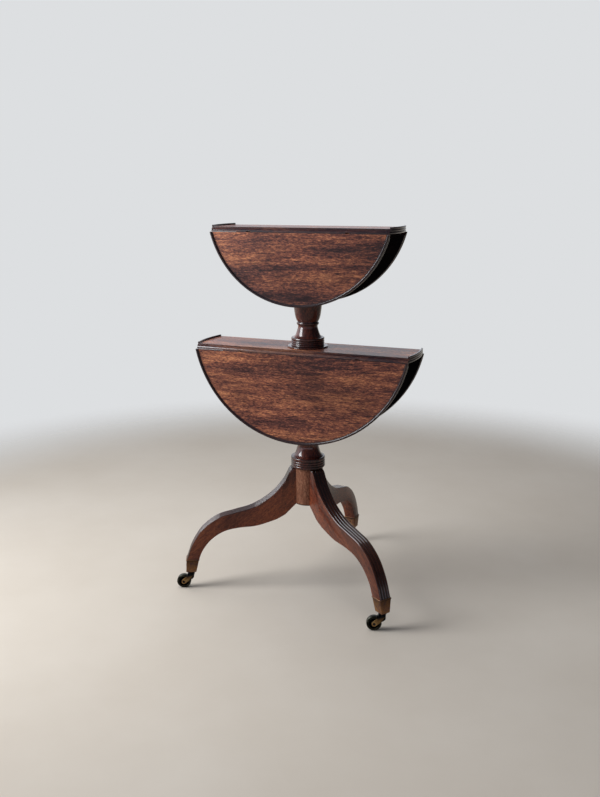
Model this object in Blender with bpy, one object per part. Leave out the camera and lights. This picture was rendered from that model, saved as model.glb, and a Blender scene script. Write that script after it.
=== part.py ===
"""Two-tier drop-leaf dumbwaiter table in mahogany, on a turned column and three reeded sabre legs.

Metres, +Z up. The origin is on the floor under the middle of the footprint, and the beds run along X.
Each tier is a round dished board cut into a fixed bed and two leaves. The leaves hang from table
hinges on rule joints, and a bearer under each bed turns about the column to hold the raised leaves.
"""

import math

import bmesh
import bpy
from mathutils import Matrix, Vector

# Clearances
GAP = 0.0003                      # between pieces that touch or seat in each other
RULE_CLEARANCE = 0.0004           # between the ovolo of a bed and the cove of its leaf
OVERRUN = 0.002                   # how far a cutter reaches past what it cuts
SMOOTH_ANGLE = math.radians(32)   # faces that meet at less than this are shaded smooth

# Tiers: field is the dished top surface, inside the raised lip
LOWER_TIER_RADIUS = 0.2837
UPPER_TIER_RADIUS = 0.2354
LOWER_FIELD_HEIGHT = 0.6368
TIER_SPACING = 0.292              # field to field, so that the upper leaves hang clear of the lower tier
BED_HALF_WIDTH = 0.060            # column axis to each hinge line
BOARD_THICKNESS = 0.0115
LIP_HEIGHT = 0.004
LIP_WIDTH = 0.0045
LIP_SLOPE = 0.0012
EDGE_REEDS = 3
EDGE_REED_DEPTH = 0.0015
OVOLO_FILLET = 0.003
BOARD_SEGMENTS = 60
OVOLO_STEPS = 5

# Table hinges, with the pin on the underside plane of the boards
HINGE_PLACE_SHARE = 0.55          # of half the hinge line's length
HINGE_WIDTH = 0.032
BED_FLAP_LENGTH = 0.024
LEAF_FLAP_LENGTH = 0.040
FLAP_THICKNESS = 0.0014
KNUCKLE_RADIUS = 0.0027
KNUCKLE_STEPS = 6                 # facets round a rolled knuckle
KNUCKLE_SEAM = math.radians(20)   # left open where the roll meets its flap
HINGE_PIN_RADIUS = 0.0012
HINGE_PIN_SIDES = 8
LEAF_HANG_ANGLE = math.radians(90)

# Bearer that turns under each bed, and the boss that it turns on
BEARER_REACH_SHARE = 0.6          # of the tier's radius
BEARER_WIDTH = 0.026
BEARER_THICKNESS = 0.015
BEARER_TIP_THICKNESS = 0.008
BEARER_TAPER_SHARE = 0.45         # of the reach, where the taper starts
BEARER_RING_RADIUS = 0.043
BOSS_RADIUS = 0.030
BOSS_PLAY = 0.0006
BOSS_SIDES = 24

# Column
SPIGOT_RADIUS = 0.016
TENON_RADIUS = 0.010
TENON_BITE = 0.014                # of the upper column's tenon, below the lower column's capital top
CAPITAL_RADIUS = 0.0375
CAPITAL_EDGE = 0.005
LOWER_VASE_RADIUS = 0.0395
UPPER_VASE_RADIUS = 0.0358
COLLAR_HEIGHT = 0.327             # floor to the underside of the lower column's collar
COLLAR_REED_RADIUS = 0.0436
COLLAR_REED_HEIGHT = 0.0061
COLLAR_TORUS_HEIGHT = 0.0086
FLANGE_RADIUS = 0.0500
FLANGE_HEIGHT = 0.0028
FOOT_REED_RADIUS = 0.0412
FOOT_REED_HEIGHT = 0.0047
FOOT_TORUS_HEIGHT = 0.0067
COLUMN_REEDS = 3
COLUMN_REED_DEPTH = 0.0016
BLOCK_RADIUS = 0.037
BLOCK_BOTTOM_HEIGHT = 0.2295
COLUMN_SEGMENTS = 20
FLANGE_EDGE_SHARE = 0.6           # of the flange's height, where its edge turns in
# A reed's section: depth as a share of its groove's, and place as a share of its height
REED_SHARES = ((0.15, 0.25), (0.15, 0.75), (1.0, 1.0))
TORUS_SHARES = ((0.15, 0.20), (0.0, 0.50), (0.6, 0.85))
# Heights above the torus as shares of the length to the capital, and radii as shares of the vase's
CAVETTO_SHARES = ((0.0, 0.99), (0.022, 0.86), (0.06, 0.762), (0.108, 0.68))
BEAD_SHARES = ((0.128, 0.69), (0.138, 0.768), (0.154, 0.768), (0.164, 0.72))
VASE_SHARES = ((0.18, 0.775), (0.22, 0.865), (0.28, 0.93), (0.35, 0.977), (0.43, 1.0), (0.52, 0.99),
               (0.60, 0.935), (0.68, 0.835), (0.75, 0.725), (0.81, 0.63), (0.87, 0.57))
RING_SHARES = ((0.885, 0.67), (0.91, 0.67), (0.925, 0.58), (0.95, 0.65), (0.972, 0.80))

# Legs, from the column axis
LEG_COUNT = 3
LEG_NAMES = ("back", "left", "right")
FIRST_LEG_ANGLE = math.radians(86.74)
FOOT_RADIUS = 0.307               # column axis to each castor's swivel
FOOTPRINT_SHARES = (-0.0457, 0.2148) # of that radius, from the column axis to the footprint's middle
LEG_THICKNESS = 0.036
LEG_FOOT_THICKNESS = 0.031
LEG_REEDS = 4
LEG_REED_DEPTH = 0.0024
LEG_STEPS = 2                     # stations between two listed points
LEG_REED_SHARES = ((0.0, 1.0), (0.3, 0.12), (0.7, 0.12))    # place across a reed, and depth
# Points along a leg's top and underside, as shares of its reach past the column's seat and of its height
LEG_TOP_SHARES = ((0.0, 1.0), (0.048, 0.978), (0.108, 0.846), (0.222, 0.696), (0.390, 0.573),
                  (0.560, 0.5154), (0.710, 0.4623), (0.850, 0.3407), (0.945, 0.1723), (1.0, 0.0))
# The underside starts at the block's bottom and runs straight to a corner, the first of these
LEG_UNDERSIDE_SHARES = ((0.096, 0.486), (0.150, 0.448), (0.205, 0.4189), (0.360, 0.3643), (0.525, 0.3465),
                        (0.655, 0.3098), (0.765, 0.2278), (0.845, 0.1139), (0.888, 0.0))
DOVETAIL_NECK = 0.012
DOVETAIL_WIDTH = 0.018
DOVETAIL_DEPTH = 0.011
DOVETAIL_SHOULDER = 0.006         # from the collar down to the top of the tongue

# Iron strap under the column
STRAP_THICKNESS = 0.002
STRAP_WIDTH = 0.014
STRAP_HUB_RADIUS = 0.028
STRAP_ARM_REACH = 0.020           # of the sloping part, along the radius
STRAP_SCREW_HEAD_RADIUS = 0.0042
STRAP_SCREW_SHANK_RADIUS = 0.0021
STRAP_SCREW_LENGTH = 0.022

# Brass caps, from the column axis in each leg's plane
CAP_HEIGHT = 0.036
CAP_BOTTOM_HEIGHT = 0.0465
CAP_LEAN = 0.005                  # how far the top stands nearer the column than the swivel
CAP_TOP_DEPTH = 0.033             # along the radius
CAP_TOP_WIDTH = 0.033
CAP_BOTTOM_DEPTH = 0.0265
CAP_BOTTOM_WIDTH = 0.0245
CAP_WALL = 0.0016
CAP_FLOOR = 0.004
CAP_BEAD = 0.0009
CAP_BEAD_HEIGHT = 0.003
CAP_CHAMFER = 0.0022
CAP_BOSS_RADIUS = 0.0095
CAP_BOSS_HEIGHT = 0.0025
CAP_SCREW_HEAD_RADIUS = 0.0026
CAP_SCREW_SHANK_RADIUS = 0.0013
CAP_SCREW_LENGTH = 0.010
CAP_SCREW_SHARE = 0.62            # of the cap's height
SCREW_SIDES = 6
SCREW_TAPER_SHARE = 0.7           # of a screw's length, where its point starts
SCREW_POINT_SHARE = 0.3           # of its shank's radius

# Castors, in the frame of their swivel
CASTOR_TRAIL_ANGLE = math.radians(202.5)
CASTOR_TRAIL = 0.0200
WHEEL_RADIUS = 0.0182
WHEEL_WIDTH = 0.013
WHEEL_ROUND = 0.0022
WHEEL_HUB_RADIUS = 0.0062
WHEEL_RIM_RADIUS = 0.0125
WHEEL_RECESS = 0.0016
WHEEL_SEGMENTS = 16
WHEEL_SIDE_PLAY = 0.0006
WHEEL_CLEARANCE = 0.0012
AXLE_RADIUS = 0.0018
AXLE_HEAD_RADIUS = 0.0034
AXLE_HEAD_HEIGHT = 0.0011
AXLE_HEAD_SHARE = 0.6             # of the head's radius, at its outer face
CHEEK_THICKNESS = 0.0024
CHEEK_EYE_RADIUS = 0.0058
CHEEK_EYE_START = math.radians(-125)
CHEEK_EYE_END = math.radians(50)
CHEEK_EYE_STEPS = 6
CROWN_RADIUS = 0.0095
CROWN_THICKNESS = 0.003
# Side view of the neck, as shares of the trail and of the height of the crown's top
NECK_TOP_SHARES = (-0.36, 0.47)
NECK_FRONT_SHARES = ((-0.33, 0.73), (-0.21, 0.635), (0.12, 0.54), (0.48, 0.42))
NECK_BACK_SHARES = ((0.98, 0.61), (0.63, 0.71), (0.48, 0.80))
PIVOT_RADIUS = 0.003
PIVOT_HEAD_RADIUS = 0.0052
PIVOT_HEAD_HEIGHT = 0.0015
PIVOT_BITE = 0.010                # into the horn
ROUND_SIDES = 10

# Values that follow from the sizes above
UPPER_FIELD_HEIGHT = LOWER_FIELD_HEIGHT + TIER_SPACING
OVOLO_RADIUS = BOARD_THICKNESS - OVOLO_FILLET
EDGE_HEIGHT = BOARD_THICKNESS + LIP_HEIGHT
BOSS_THICKNESS = BEARER_THICKNESS + BOSS_PLAY
BEARER_TOP = -GAP
HINGE_PIN_BORE = HINGE_PIN_RADIUS + GAP
SEAT_RADIUS = math.sqrt(BLOCK_RADIUS ** 2 - (LEG_THICKNESS / 2 + GAP) ** 2)
CAP_TOP_HEIGHT = CAP_BOTTOM_HEIGHT + CAP_HEIGHT
CAP_TOP_RADIUS = FOOT_RADIUS - CAP_LEAN
FOOT_SHOULDER_HEIGHT = CAP_TOP_HEIGHT + GAP
CAP_CAVITY_FLOOR = CAP_BOTTOM_HEIGHT + CAP_FLOOR
SWIVEL_HEIGHT = CAP_BOTTOM_HEIGHT - CAP_BOSS_HEIGHT
CROWN_TOP = SWIVEL_HEIGHT - GAP
LEG_END_RADIUS = SEAT_RADIUS + GAP
LEG_TOP_HEIGHT = COLLAR_HEIGHT - GAP
# The column stands off the footprint's middle, because one foot points back and the castors trail
AXIS_POINT = Vector((-FOOT_RADIUS * FOOTPRINT_SHARES[0], -FOOT_RADIUS * FOOTPRINT_SHARES[1], 0))


def new_material(name, colour, roughness, metallic):
    material = bpy.data.materials.new(name)
    material.use_nodes = True
    shader = material.node_tree.nodes["Principled BSDF"]
    shader.inputs["Base Color"].default_value = (*colour, 1)
    shader.inputs["Roughness"].default_value = roughness
    shader.inputs["Metallic"].default_value = metallic
    return material


def finish_mesh(bm):
    """Turn the faces of a closed mesh outwards and return it as mesh data."""
    bmesh.ops.recalc_face_normals(bm, faces=bm.faces)
    mesh = bpy.data.meshes.new("shape")
    bm.to_mesh(mesh)
    bm.free()
    return mesh


def rings_to_mesh(rings, closed=False):
    """Skin rings of points that have the same count. A closed skin joins the last ring to the first."""
    bm = bmesh.new()
    rows = [[bm.verts.new(point) for point in ring] for ring in rings]
    pairs = list(zip(rows, rows[1:]))
    if closed:
        pairs.append((rows[-1], rows[0]))
    else:
        bm.faces.new(rows[0][::-1])
        bm.faces.new(rows[-1])
    count = len(rows[0])
    for low, high in pairs:
        for i in range(count):
            j = (i + 1) % count
            bm.faces.new((low[i], low[j], high[j], high[i]))
    return finish_mesh(bm)


def circle(radius, height, sides, phase=0.0):
    turns = [2 * math.pi * (i + phase) / sides for i in range(sides)]
    return [Vector((radius * math.cos(a), radius * math.sin(a), height)) for a in turns]


def turned(profile, sides, closed=False, phase=0.0):
    """Turn (radius, height) points about Z."""
    return rings_to_mesh([circle(r, z, sides, phase) for r, z in profile], closed)


def prism(outline, low, high, axis="Z"):
    """Extrude an outline of (u, v) points between two places along an axis."""
    place = {
        "X": lambda u, v, w: Vector((w, u, v)),
        "Y": lambda u, v, w: Vector((u, w, v)),
        "Z": lambda u, v, w: Vector((u, v, w)),
    }[axis]
    return rings_to_mesh([[place(u, v, w) for u, v in outline] for w in (low, high)])


def box(low, high):
    outline = ((low[0], low[1]), (high[0], low[1]), (high[0], high[1]), (low[0], high[1]))
    return prism(outline, low[2], high[2])


def moved(mesh, matrix):
    copy = mesh.copy()
    copy.transform(matrix)
    return copy


def combined(mesh, other, operation):
    """Cut, join or intersect two closed meshes with an exact Boolean."""
    base = bpy.data.objects.new("base", mesh)
    tool = bpy.data.objects.new("tool", other)
    for item in (base, tool):
        bpy.context.scene.collection.objects.link(item)
    modifier = base.modifiers.new("Boolean", "BOOLEAN")
    modifier.operation = operation
    modifier.solver = "EXACT"
    modifier.object = tool
    bpy.context.view_layer.update()
    evaluated = base.evaluated_get(bpy.context.evaluated_depsgraph_get())
    result = bpy.data.meshes.new_from_object(evaluated)
    for item in (base, tool):
        bpy.data.objects.remove(item)
    return result


def cut(mesh, *tools):
    for tool in tools:
        mesh = combined(mesh, tool, "DIFFERENCE")
    return mesh


def united(mesh, *others):
    for other in others:
        mesh = combined(mesh, other, "UNION")
    return mesh


def spin(angle, axis="Z"):
    return Matrix.Rotation(angle, 4, axis)


def shift(x, y, z):
    return Matrix.Translation((x, y, z))


def add_piece(name, mesh, material, parent, angle=0.0, height=0.0):
    """Make the named object of a piece, on an empty."""
    mesh.name = name
    mesh.materials.clear()
    mesh.materials.append(material)
    mesh.shade_smooth()
    mesh.set_sharp_from_angle(angle=SMOOTH_ANGLE)
    piece = bpy.data.objects.new(name, mesh)
    bpy.context.scene.collection.objects.link(piece)
    piece.parent = parent
    piece.rotation_euler = (0, 0, angle)
    piece.location = (0, 0, height)
    return piece


def add_empty(name, location, rotation=(0, 0, 0), parent=None):
    empty = bpy.data.objects.new(name, None)
    bpy.context.scene.collection.objects.link(empty)
    empty.parent = parent
    empty.location = location
    empty.rotation_euler = rotation
    empty.empty_display_size = BOARD_THICKNESS
    return empty


def smooth_points(points, steps):
    """Points on a Catmull-Rom curve through the given ones, with steps to each span."""
    points = [Vector(point) for point in points]
    ends = [2 * points[0] - points[1]] + points + [2 * points[-1] - points[-2]]
    result = []
    for i in range(1, len(ends) - 2):
        a, b, c, d = ends[i - 1:i + 3]
        for k in range(steps):
            t = k / steps
            result.append(0.5 * (2 * b + (c - a) * t + (2 * a - 5 * b + 4 * c - d) * t * t
                                 + (3 * b - a - 3 * c + d) * t ** 3))
    return result + [points[-1]]


def straight_points(points, steps):
    result = []
    for a, b in zip(points, points[1:]):
        result += [Vector(a).lerp(Vector(b), k / steps) for k in range(steps)]
    return result + [Vector(points[-1])]


def reed_points(radius, low, height, count, depth):
    """Half-round reeds up a turned edge, from groove to groove."""
    points = [(radius - depth, low)]
    for k in range(count):
        foot = low + k * height
        points += [(radius - depth * drop, foot + height * place) for drop, place in REED_SHARES]
    return points


def screw_mesh(head, shank, length, countersink, lift=0.0):
    """A countersunk screw along +Z with its head at zero. Lift carries a cutter's head outwards."""
    profile = [(head, 0), (shank, countersink), (shank, length * SCREW_TAPER_SHARE),
               (shank * SCREW_POINT_SHARE, length)]
    if lift:
        profile.insert(0, (head, -lift))
    return turned(profile, SCREW_SIDES)


# Board edges and rule joints

def round_board(radius):
    """A round dished board with a reeded edge, its underside at zero."""
    reed_height = EDGE_HEIGHT / EDGE_REEDS
    profile = reed_points(radius, 0, reed_height, EDGE_REEDS, EDGE_REED_DEPTH)
    profile.append((radius - LIP_WIDTH, EDGE_HEIGHT))
    profile.append((radius - LIP_WIDTH - LIP_SLOPE, BOARD_THICKNESS))
    return turned(profile, BOARD_SEGMENTS, phase=0.5)


def quarter(radius, start):
    """Arc points about the hinge pin, from just over the pin out to the underside."""
    first = math.acos(start / radius)
    angles = [first * (1 - k / OVOLO_STEPS) for k in range(OVOLO_STEPS + 1)]
    return [(radius * math.cos(a), radius * math.sin(a)) for a in angles]


def bed_outline():
    half = [(x + BED_HALF_WIDTH, z) for x, z in quarter(OVOLO_RADIUS, 0)]
    top = EDGE_HEIGHT + OVERRUN
    right = [(BED_HALF_WIDTH, top)] + half + [(BED_HALF_WIDTH + OVOLO_RADIUS, -OVERRUN)]
    return right + [(-y, z) for y, z in reversed(right)]


def leaf_outline(side, radius):
    """Cross-section of a raised leaf from its hinge line, as a cutter for the round board."""
    cove = quarter(OVOLO_RADIUS + RULE_CLEARANCE, RULE_CLEARANCE)
    top = EDGE_HEIGHT + OVERRUN
    points = [(RULE_CLEARANCE, top)] + cove + [(OVOLO_RADIUS + RULE_CLEARANCE, -OVERRUN)]
    points += [(radius, -OVERRUN), (radius, top)]
    return [(side * y, z) for y, z in points]


# Hinges, in the frame of one hinge: +X away from the bed, +Y along the pin, +Z up

def along_pin(radius, low, high, sides):
    return moved(turned([(radius, low), (radius, high)], sides), spin(math.radians(-90), "X"))


def arc(radius, first, last, steps):
    angles = [first + (last - first) * k / steps for k in range(steps + 1)]
    return [(radius * math.cos(a), radius * math.sin(a)) for a in angles]


def flap_mesh(length, direction, middle):
    """A hinge flap whose end is rolled into knuckles. Direction is +1 for a leaf and -1 for a bed."""
    roll_start = math.asin(FLAP_THICKNESS / KNUCKLE_RADIUS)
    roll_end = 2 * math.pi - KNUCKLE_SEAM
    outline = [(length, 0), (length, FLAP_THICKNESS)]
    outline += arc(KNUCKLE_RADIUS, roll_start, roll_end, KNUCKLE_STEPS)
    outline += arc(HINGE_PIN_BORE, roll_end, 0, KNUCKLE_STEPS)
    half = HINGE_WIDTH / 2
    flap = prism([(direction * x, z) for x, z in outline], -half, half, "Y")
    # The middle third of the pin belongs to the leaf's flap, and the ends to the bed's
    third = HINGE_WIDTH / 6
    room = KNUCKLE_RADIUS + GAP
    reach = room
    notches = [(-third - GAP / 2, third + GAP / 2)]
    if middle:
        # The leaf's flap is as narrow as its knuckle until it is clear of the ovolo
        reach = OVOLO_RADIUS + RULE_CLEARANCE
        notches = [(-half - OVERRUN, -third + GAP / 2), (third - GAP / 2, half + OVERRUN)]
    return cut(flap, *[box((-room, low, -room), (reach, high, room)) for low, high in notches])


def leaf_recess():
    """Room in a leaf for its flap."""
    half = HINGE_WIDTH / 2 + GAP
    return box((-OVERRUN, -half, -OVERRUN), (LEAF_FLAP_LENGTH + GAP, half, FLAP_THICKNESS + GAP))


def bed_recess():
    """Room in a bed for its flap and the knuckles, and for the neck of the leaf's flap."""
    depth = FLAP_THICKNESS + GAP
    room = KNUCKLE_RADIUS + GAP
    far = BED_FLAP_LENGTH + GAP
    outline = [(-far, -OVERRUN), (-far, depth)]
    outline += [(-x, z) for x, z in arc(room, math.asin(depth / room), math.pi, KNUCKLE_STEPS)]
    outline.append((room, -OVERRUN))
    half = HINGE_WIDTH / 2 + GAP
    neck = HINGE_WIDTH / 6 + GAP / 2
    recess = prism(outline, -half, half, "Y")
    return united(recess, box((0, -neck, -OVERRUN), (OVOLO_RADIUS + OVERRUN, neck, depth)))


def hinge_places(radius, side):
    """Frames of the two hinges on one side of a tier, from the tier's axis."""
    half_line = math.sqrt(radius ** 2 - BED_HALF_WIDTH ** 2)
    return [shift(end * half_line * HINGE_PLACE_SHARE, side * BED_HALF_WIDTH, 0) @ spin(side * math.pi / 2)
            for end in (-1, 1)]


# Tiers

def bearer_mesh(radius):
    """A bar with a ring in its middle, its ends tapered on the underside."""
    reach = radius * BEARER_REACH_SHARE
    taper = reach * BEARER_TAPER_SHARE
    low = BEARER_TOP - BEARER_THICKNESS
    tip = BEARER_TOP - BEARER_TIP_THICKNESS
    outline = [(-reach, BEARER_TOP), (-reach, tip), (-taper, low), (taper, low), (reach, tip),
               (reach, BEARER_TOP)]
    bar = prism(outline, -BEARER_WIDTH / 2, BEARER_WIDTH / 2, "Y")
    ring = turned([(BEARER_RING_RADIUS, low), (BEARER_RING_RADIUS, BEARER_TOP)], BOSS_SIDES)
    # The hole's flats clear the boss's corners as the bearer turns
    bore = (BOSS_RADIUS + GAP) / math.cos(math.pi / BOSS_SIDES)
    hole = turned([(bore, low - OVERRUN), (bore, BEARER_TOP + OVERRUN)], BOSS_SIDES)
    return cut(united(bar, ring), hole)


def bed_mesh(radius, through_hole):
    reach = radius + OVERRUN
    bed = combined(round_board(radius), prism(bed_outline(), -reach, reach, "X"), "INTERSECT")
    for side in (-1, 1):
        for place in hinge_places(radius, side):
            bed = cut(bed, moved(bed_recess(), place))
    if through_hole:
        hole = TENON_RADIUS + GAP
        bed = cut(bed, turned([(hole, -OVERRUN), (hole, EDGE_HEIGHT)], ROUND_SIDES * 2))
    return bed


def leaf_mesh(radius, side):
    """A raised leaf, from its hinge line."""
    reach = radius + OVERRUN
    to_hinge = shift(0, -side * BED_HALF_WIDTH, 0)
    board = moved(round_board(radius), to_hinge)
    leaf = combined(board, prism(leaf_outline(side, radius), -reach, reach, "X"), "INTERSECT")
    for place in hinge_places(radius, side):
        leaf = cut(leaf, moved(leaf_recess(), to_hinge @ place))
    return leaf


def build_hinge(name, place, underside, root, leaf_axis, to_leaf, metals):
    """The three pieces of one table hinge. Its leaf flap goes on the leaf's empty."""
    bed_flap = moved(flap_mesh(BED_FLAP_LENGTH, -1, False), place)
    add_piece(name + "_bed_flap", bed_flap, metals["brass"], root, height=underside)
    leaf_flap = moved(flap_mesh(LEAF_FLAP_LENGTH, 1, True), to_leaf @ place)
    add_piece(name + "_leaf_flap", leaf_flap, metals["brass"], leaf_axis)
    pin = moved(along_pin(HINGE_PIN_RADIUS, -HINGE_WIDTH / 2, HINGE_WIDTH / 2, HINGE_PIN_SIDES), place)
    add_piece(name + "_pin", pin, metals["steel"], root, height=underside)


def build_tier(name, radius, field_height, root, woods, metals):
    underside = field_height - BOARD_THICKNESS
    bed = bed_mesh(radius, name == "lower")
    add_piece(name + "_bed", bed, woods["top"], root, height=underside)
    for label, side in (("front", -1), ("back", 1)):
        line = (0, side * BED_HALF_WIDTH, underside)
        leaf_axis = add_empty(f"{name}_{label}_leaf_axis", line, (-side * LEAF_HANG_ANGLE, 0, 0), root)
        add_piece(f"{name}_{label}_leaf", leaf_mesh(radius, side), woods["top"], leaf_axis)
        to_leaf = shift(0, -side * BED_HALF_WIDTH, 0)
        for end, place in zip(("left", "right"), hinge_places(radius, side)):
            hinge = f"{name}_{label}_{end}_hinge"
            build_hinge(hinge, place, underside, root, leaf_axis, to_leaf, metals)

    bearer_axis = add_empty(name + "_bearer_axis", (0, 0, underside), parent=root)
    add_piece(name + "_bearer", bearer_mesh(radius), woods["column"], bearer_axis)
    boss = turned([(SPIGOT_RADIUS + GAP, -BOSS_THICKNESS), (BOSS_RADIUS, -BOSS_THICKNESS),
                   (BOSS_RADIUS, -GAP), (SPIGOT_RADIUS + GAP, -GAP)], BOSS_SIDES, closed=True)
    add_piece(name + "_bearer_boss", boss, woods["column"], root, height=underside)


# Columns

def shaft_points(low, high, vase_radius):
    """Cavetto, bead, vase, ring and capital of a column, between two heights."""
    length = high - CAPITAL_EDGE - low
    shares = CAVETTO_SHARES + BEAD_SHARES + VASE_SHARES + RING_SHARES
    points = [(r * vase_radius, low + z * length) for z, r in shares]
    return points + [(CAPITAL_RADIUS, low + length), (CAPITAL_RADIUS, high)]


def torus_points(radius, low, height):
    return [(radius - COLUMN_REED_DEPTH * drop, low + height * place) for drop, place in TORUS_SHARES]


def capital_height(field_height):
    return field_height - BOARD_THICKNESS - BOSS_THICKNESS - GAP


def upper_column_mesh():
    base = LOWER_FIELD_HEIGHT + GAP
    reeds = base + FLANGE_HEIGHT
    torus = reeds + COLUMN_REEDS * FOOT_REED_HEIGHT
    top = capital_height(UPPER_FIELD_HEIGHT)
    tenon = capital_height(LOWER_FIELD_HEIGHT) - TENON_BITE
    edge = base + FLANGE_HEIGHT * FLANGE_EDGE_SHARE
    profile = [(TENON_RADIUS, tenon), (TENON_RADIUS, base), (FLANGE_RADIUS, base), (FLANGE_RADIUS, edge),
               (FLANGE_RADIUS - COLUMN_REED_DEPTH, reeds)]
    profile += reed_points(FOOT_REED_RADIUS, reeds, FOOT_REED_HEIGHT, COLUMN_REEDS, COLUMN_REED_DEPTH)
    profile += torus_points(FOOT_REED_RADIUS, torus, FOOT_TORUS_HEIGHT)
    profile += shaft_points(torus + FOOT_TORUS_HEIGHT, top, UPPER_VASE_RADIUS)
    profile += [(SPIGOT_RADIUS, top), (SPIGOT_RADIUS, UPPER_FIELD_HEIGHT - BOARD_THICKNESS - GAP)]
    return turned(profile, COLUMN_SEGMENTS)


def dovetail(clearance):
    """Plan of a leg's tongue: narrow at the seat and wide towards the column axis."""
    neck = DOVETAIL_NECK / 2 + clearance
    wide = DOVETAIL_WIDTH / 2 + clearance
    deep = SEAT_RADIUS - DOVETAIL_DEPTH - clearance
    out = SEAT_RADIUS + OVERRUN
    half = [(deep, wide), (SEAT_RADIUS, neck), (out, neck)]
    return half + [(x, -y) for x, y in reversed(half)]


def leg_angles():
    return [FIRST_LEG_ANGLE + 2 * math.pi * k / LEG_COUNT for k in range(LEG_COUNT)]


def lower_column_mesh():
    """The turned shaft with its block, in one piece of wood, socketed for the legs and the upper tenon."""
    torus = COLLAR_HEIGHT + COLUMN_REEDS * COLLAR_REED_HEIGHT
    top = capital_height(LOWER_FIELD_HEIGHT)
    head = LOWER_FIELD_HEIGHT - BOARD_THICKNESS - GAP
    profile = [(BLOCK_RADIUS, BLOCK_BOTTOM_HEIGHT), (BLOCK_RADIUS, COLLAR_HEIGHT)]
    profile += reed_points(COLLAR_REED_RADIUS, COLLAR_HEIGHT, COLLAR_REED_HEIGHT, COLUMN_REEDS,
                           COLUMN_REED_DEPTH)
    profile += torus_points(COLLAR_REED_RADIUS, torus, COLLAR_TORUS_HEIGHT)
    profile += shaft_points(torus + COLLAR_TORUS_HEIGHT, top, LOWER_VASE_RADIUS)
    profile += [(SPIGOT_RADIUS, top), (SPIGOT_RADIUS, head)]
    column = turned(profile, COLUMN_SEGMENTS)

    socket = TENON_RADIUS + GAP
    bore = turned([(socket, top - TENON_BITE - GAP), (socket, head + OVERRUN)], ROUND_SIDES * 2)
    column = cut(column, bore)
    bottom = BLOCK_BOTTOM_HEIGHT - OVERRUN
    shoulder = COLLAR_HEIGHT - DOVETAIL_SHOULDER + GAP
    tongue = prism(dovetail(GAP), bottom, shoulder)
    half = LEG_THICKNESS / 2 + GAP
    seat = box((SEAT_RADIUS, -half, bottom), (BLOCK_RADIUS + OVERRUN, half, COLLAR_HEIGHT))
    for angle in leg_angles():
        column = cut(column, moved(seat, spin(angle)), moved(tongue, spin(angle)))
    return cut(column, strap_screw(GAP))


# Legs, in the plane of each leg: +X away from the column

def leg_curves():
    """Matching points along the top and the underside, as (x, z)."""
    reach = CAP_TOP_RADIUS + CAP_TOP_DEPTH / 2 - CAP_BEAD - LEG_END_RADIUS
    rise = LEG_TOP_HEIGHT - FOOT_SHOULDER_HEIGHT

    def real(shares):
        return [(LEG_END_RADIUS + x * reach, FOOT_SHOULDER_HEIGHT + z * rise) for x, z in shares]

    corner = real(LEG_UNDERSIDE_SHARES)[0]
    start = (LEG_END_RADIUS, BLOCK_BOTTOM_HEIGHT)
    slope = straight_points([start, corner], LEG_STEPS)
    curve = smooth_points(real(LEG_UNDERSIDE_SHARES), LEG_STEPS)
    return smooth_points(real(LEG_TOP_SHARES), LEG_STEPS), slope[:-1] + curve


def leg_section(top, under, thickness, reed_depth):
    """A ring across the leg: flat sides and underside, and reeds along the top."""
    up = (top - under).normalized()
    width = thickness / LEG_REEDS
    ring = [Vector((under.x, thickness / 2, under.y)), Vector((under.x, -thickness / 2, under.y))]
    for k in range(LEG_REEDS):
        foot = -thickness / 2 + k * width
        for place, drop in LEG_REED_SHARES:
            point = top - up * (reed_depth * drop)
            ring.append(Vector((point.x, foot + place * width, point.y)))
    point = top - up * reed_depth
    ring.append(Vector((point.x, thickness / 2, point.y)))
    return ring


def cap_half_sizes(height, inset):
    """Half depth, half width and centre radius of the tapered cap at a height, drawn in by an inset."""
    share = (height - CAP_BOTTOM_HEIGHT) / CAP_HEIGHT
    depth = CAP_BOTTOM_DEPTH + (CAP_TOP_DEPTH - CAP_BOTTOM_DEPTH) * share
    width = CAP_BOTTOM_WIDTH + (CAP_TOP_WIDTH - CAP_BOTTOM_WIDTH) * share
    return depth / 2 - inset, width / 2 - inset, FOOT_RADIUS - CAP_LEAN * share


def leg_mesh():
    top, under = leg_curves()
    count = len(top)
    rings = []
    for i in range(count):
        thickness = LEG_THICKNESS + (LEG_FOOT_THICKNESS - LEG_THICKNESS) * i / (count - 1)
        rings.append(leg_section(top[i], under[i], thickness, LEG_REED_DEPTH))
    foot_end = CAP_CAVITY_FLOOR + PIVOT_HEAD_HEIGHT + 2 * GAP
    for height in (FOOT_SHOULDER_HEIGHT, foot_end):
        depth, width, centre = cap_half_sizes(height, CAP_WALL + CAP_CHAMFER / 2 + GAP)
        outer = Vector((centre + depth, height))
        inner = Vector((centre - depth, height))
        rings.append(leg_section(outer, inner, 2 * width, 0.0))
    leg = rings_to_mesh(rings)
    tongue = prism(dovetail(0.0), BLOCK_BOTTOM_HEIGHT, COLLAR_HEIGHT - DOVETAIL_SHOULDER)
    return cut(united(leg, tongue), moved(cap_screw(GAP), cap_screw_place()))


# Strap

def strap_slope():
    """Angle below the level of a leg's underside next to the column."""
    top, under = leg_curves()
    run = under[LEG_STEPS] - under[0]
    return math.atan2(-run.y, run.x)


def strap_line(depth):
    """The bent line that lies a depth below the block and the legs, as (x, z) points."""
    slope = strap_slope()
    bend = LEG_END_RADIUS - depth * (1 / math.cos(slope) - 1) / math.tan(slope)
    tip = LEG_END_RADIUS + STRAP_ARM_REACH
    level = BLOCK_BOTTOM_HEIGHT - depth
    return [(0, level), (bend, level), (tip, level - (tip - bend) * math.tan(slope))]


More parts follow.
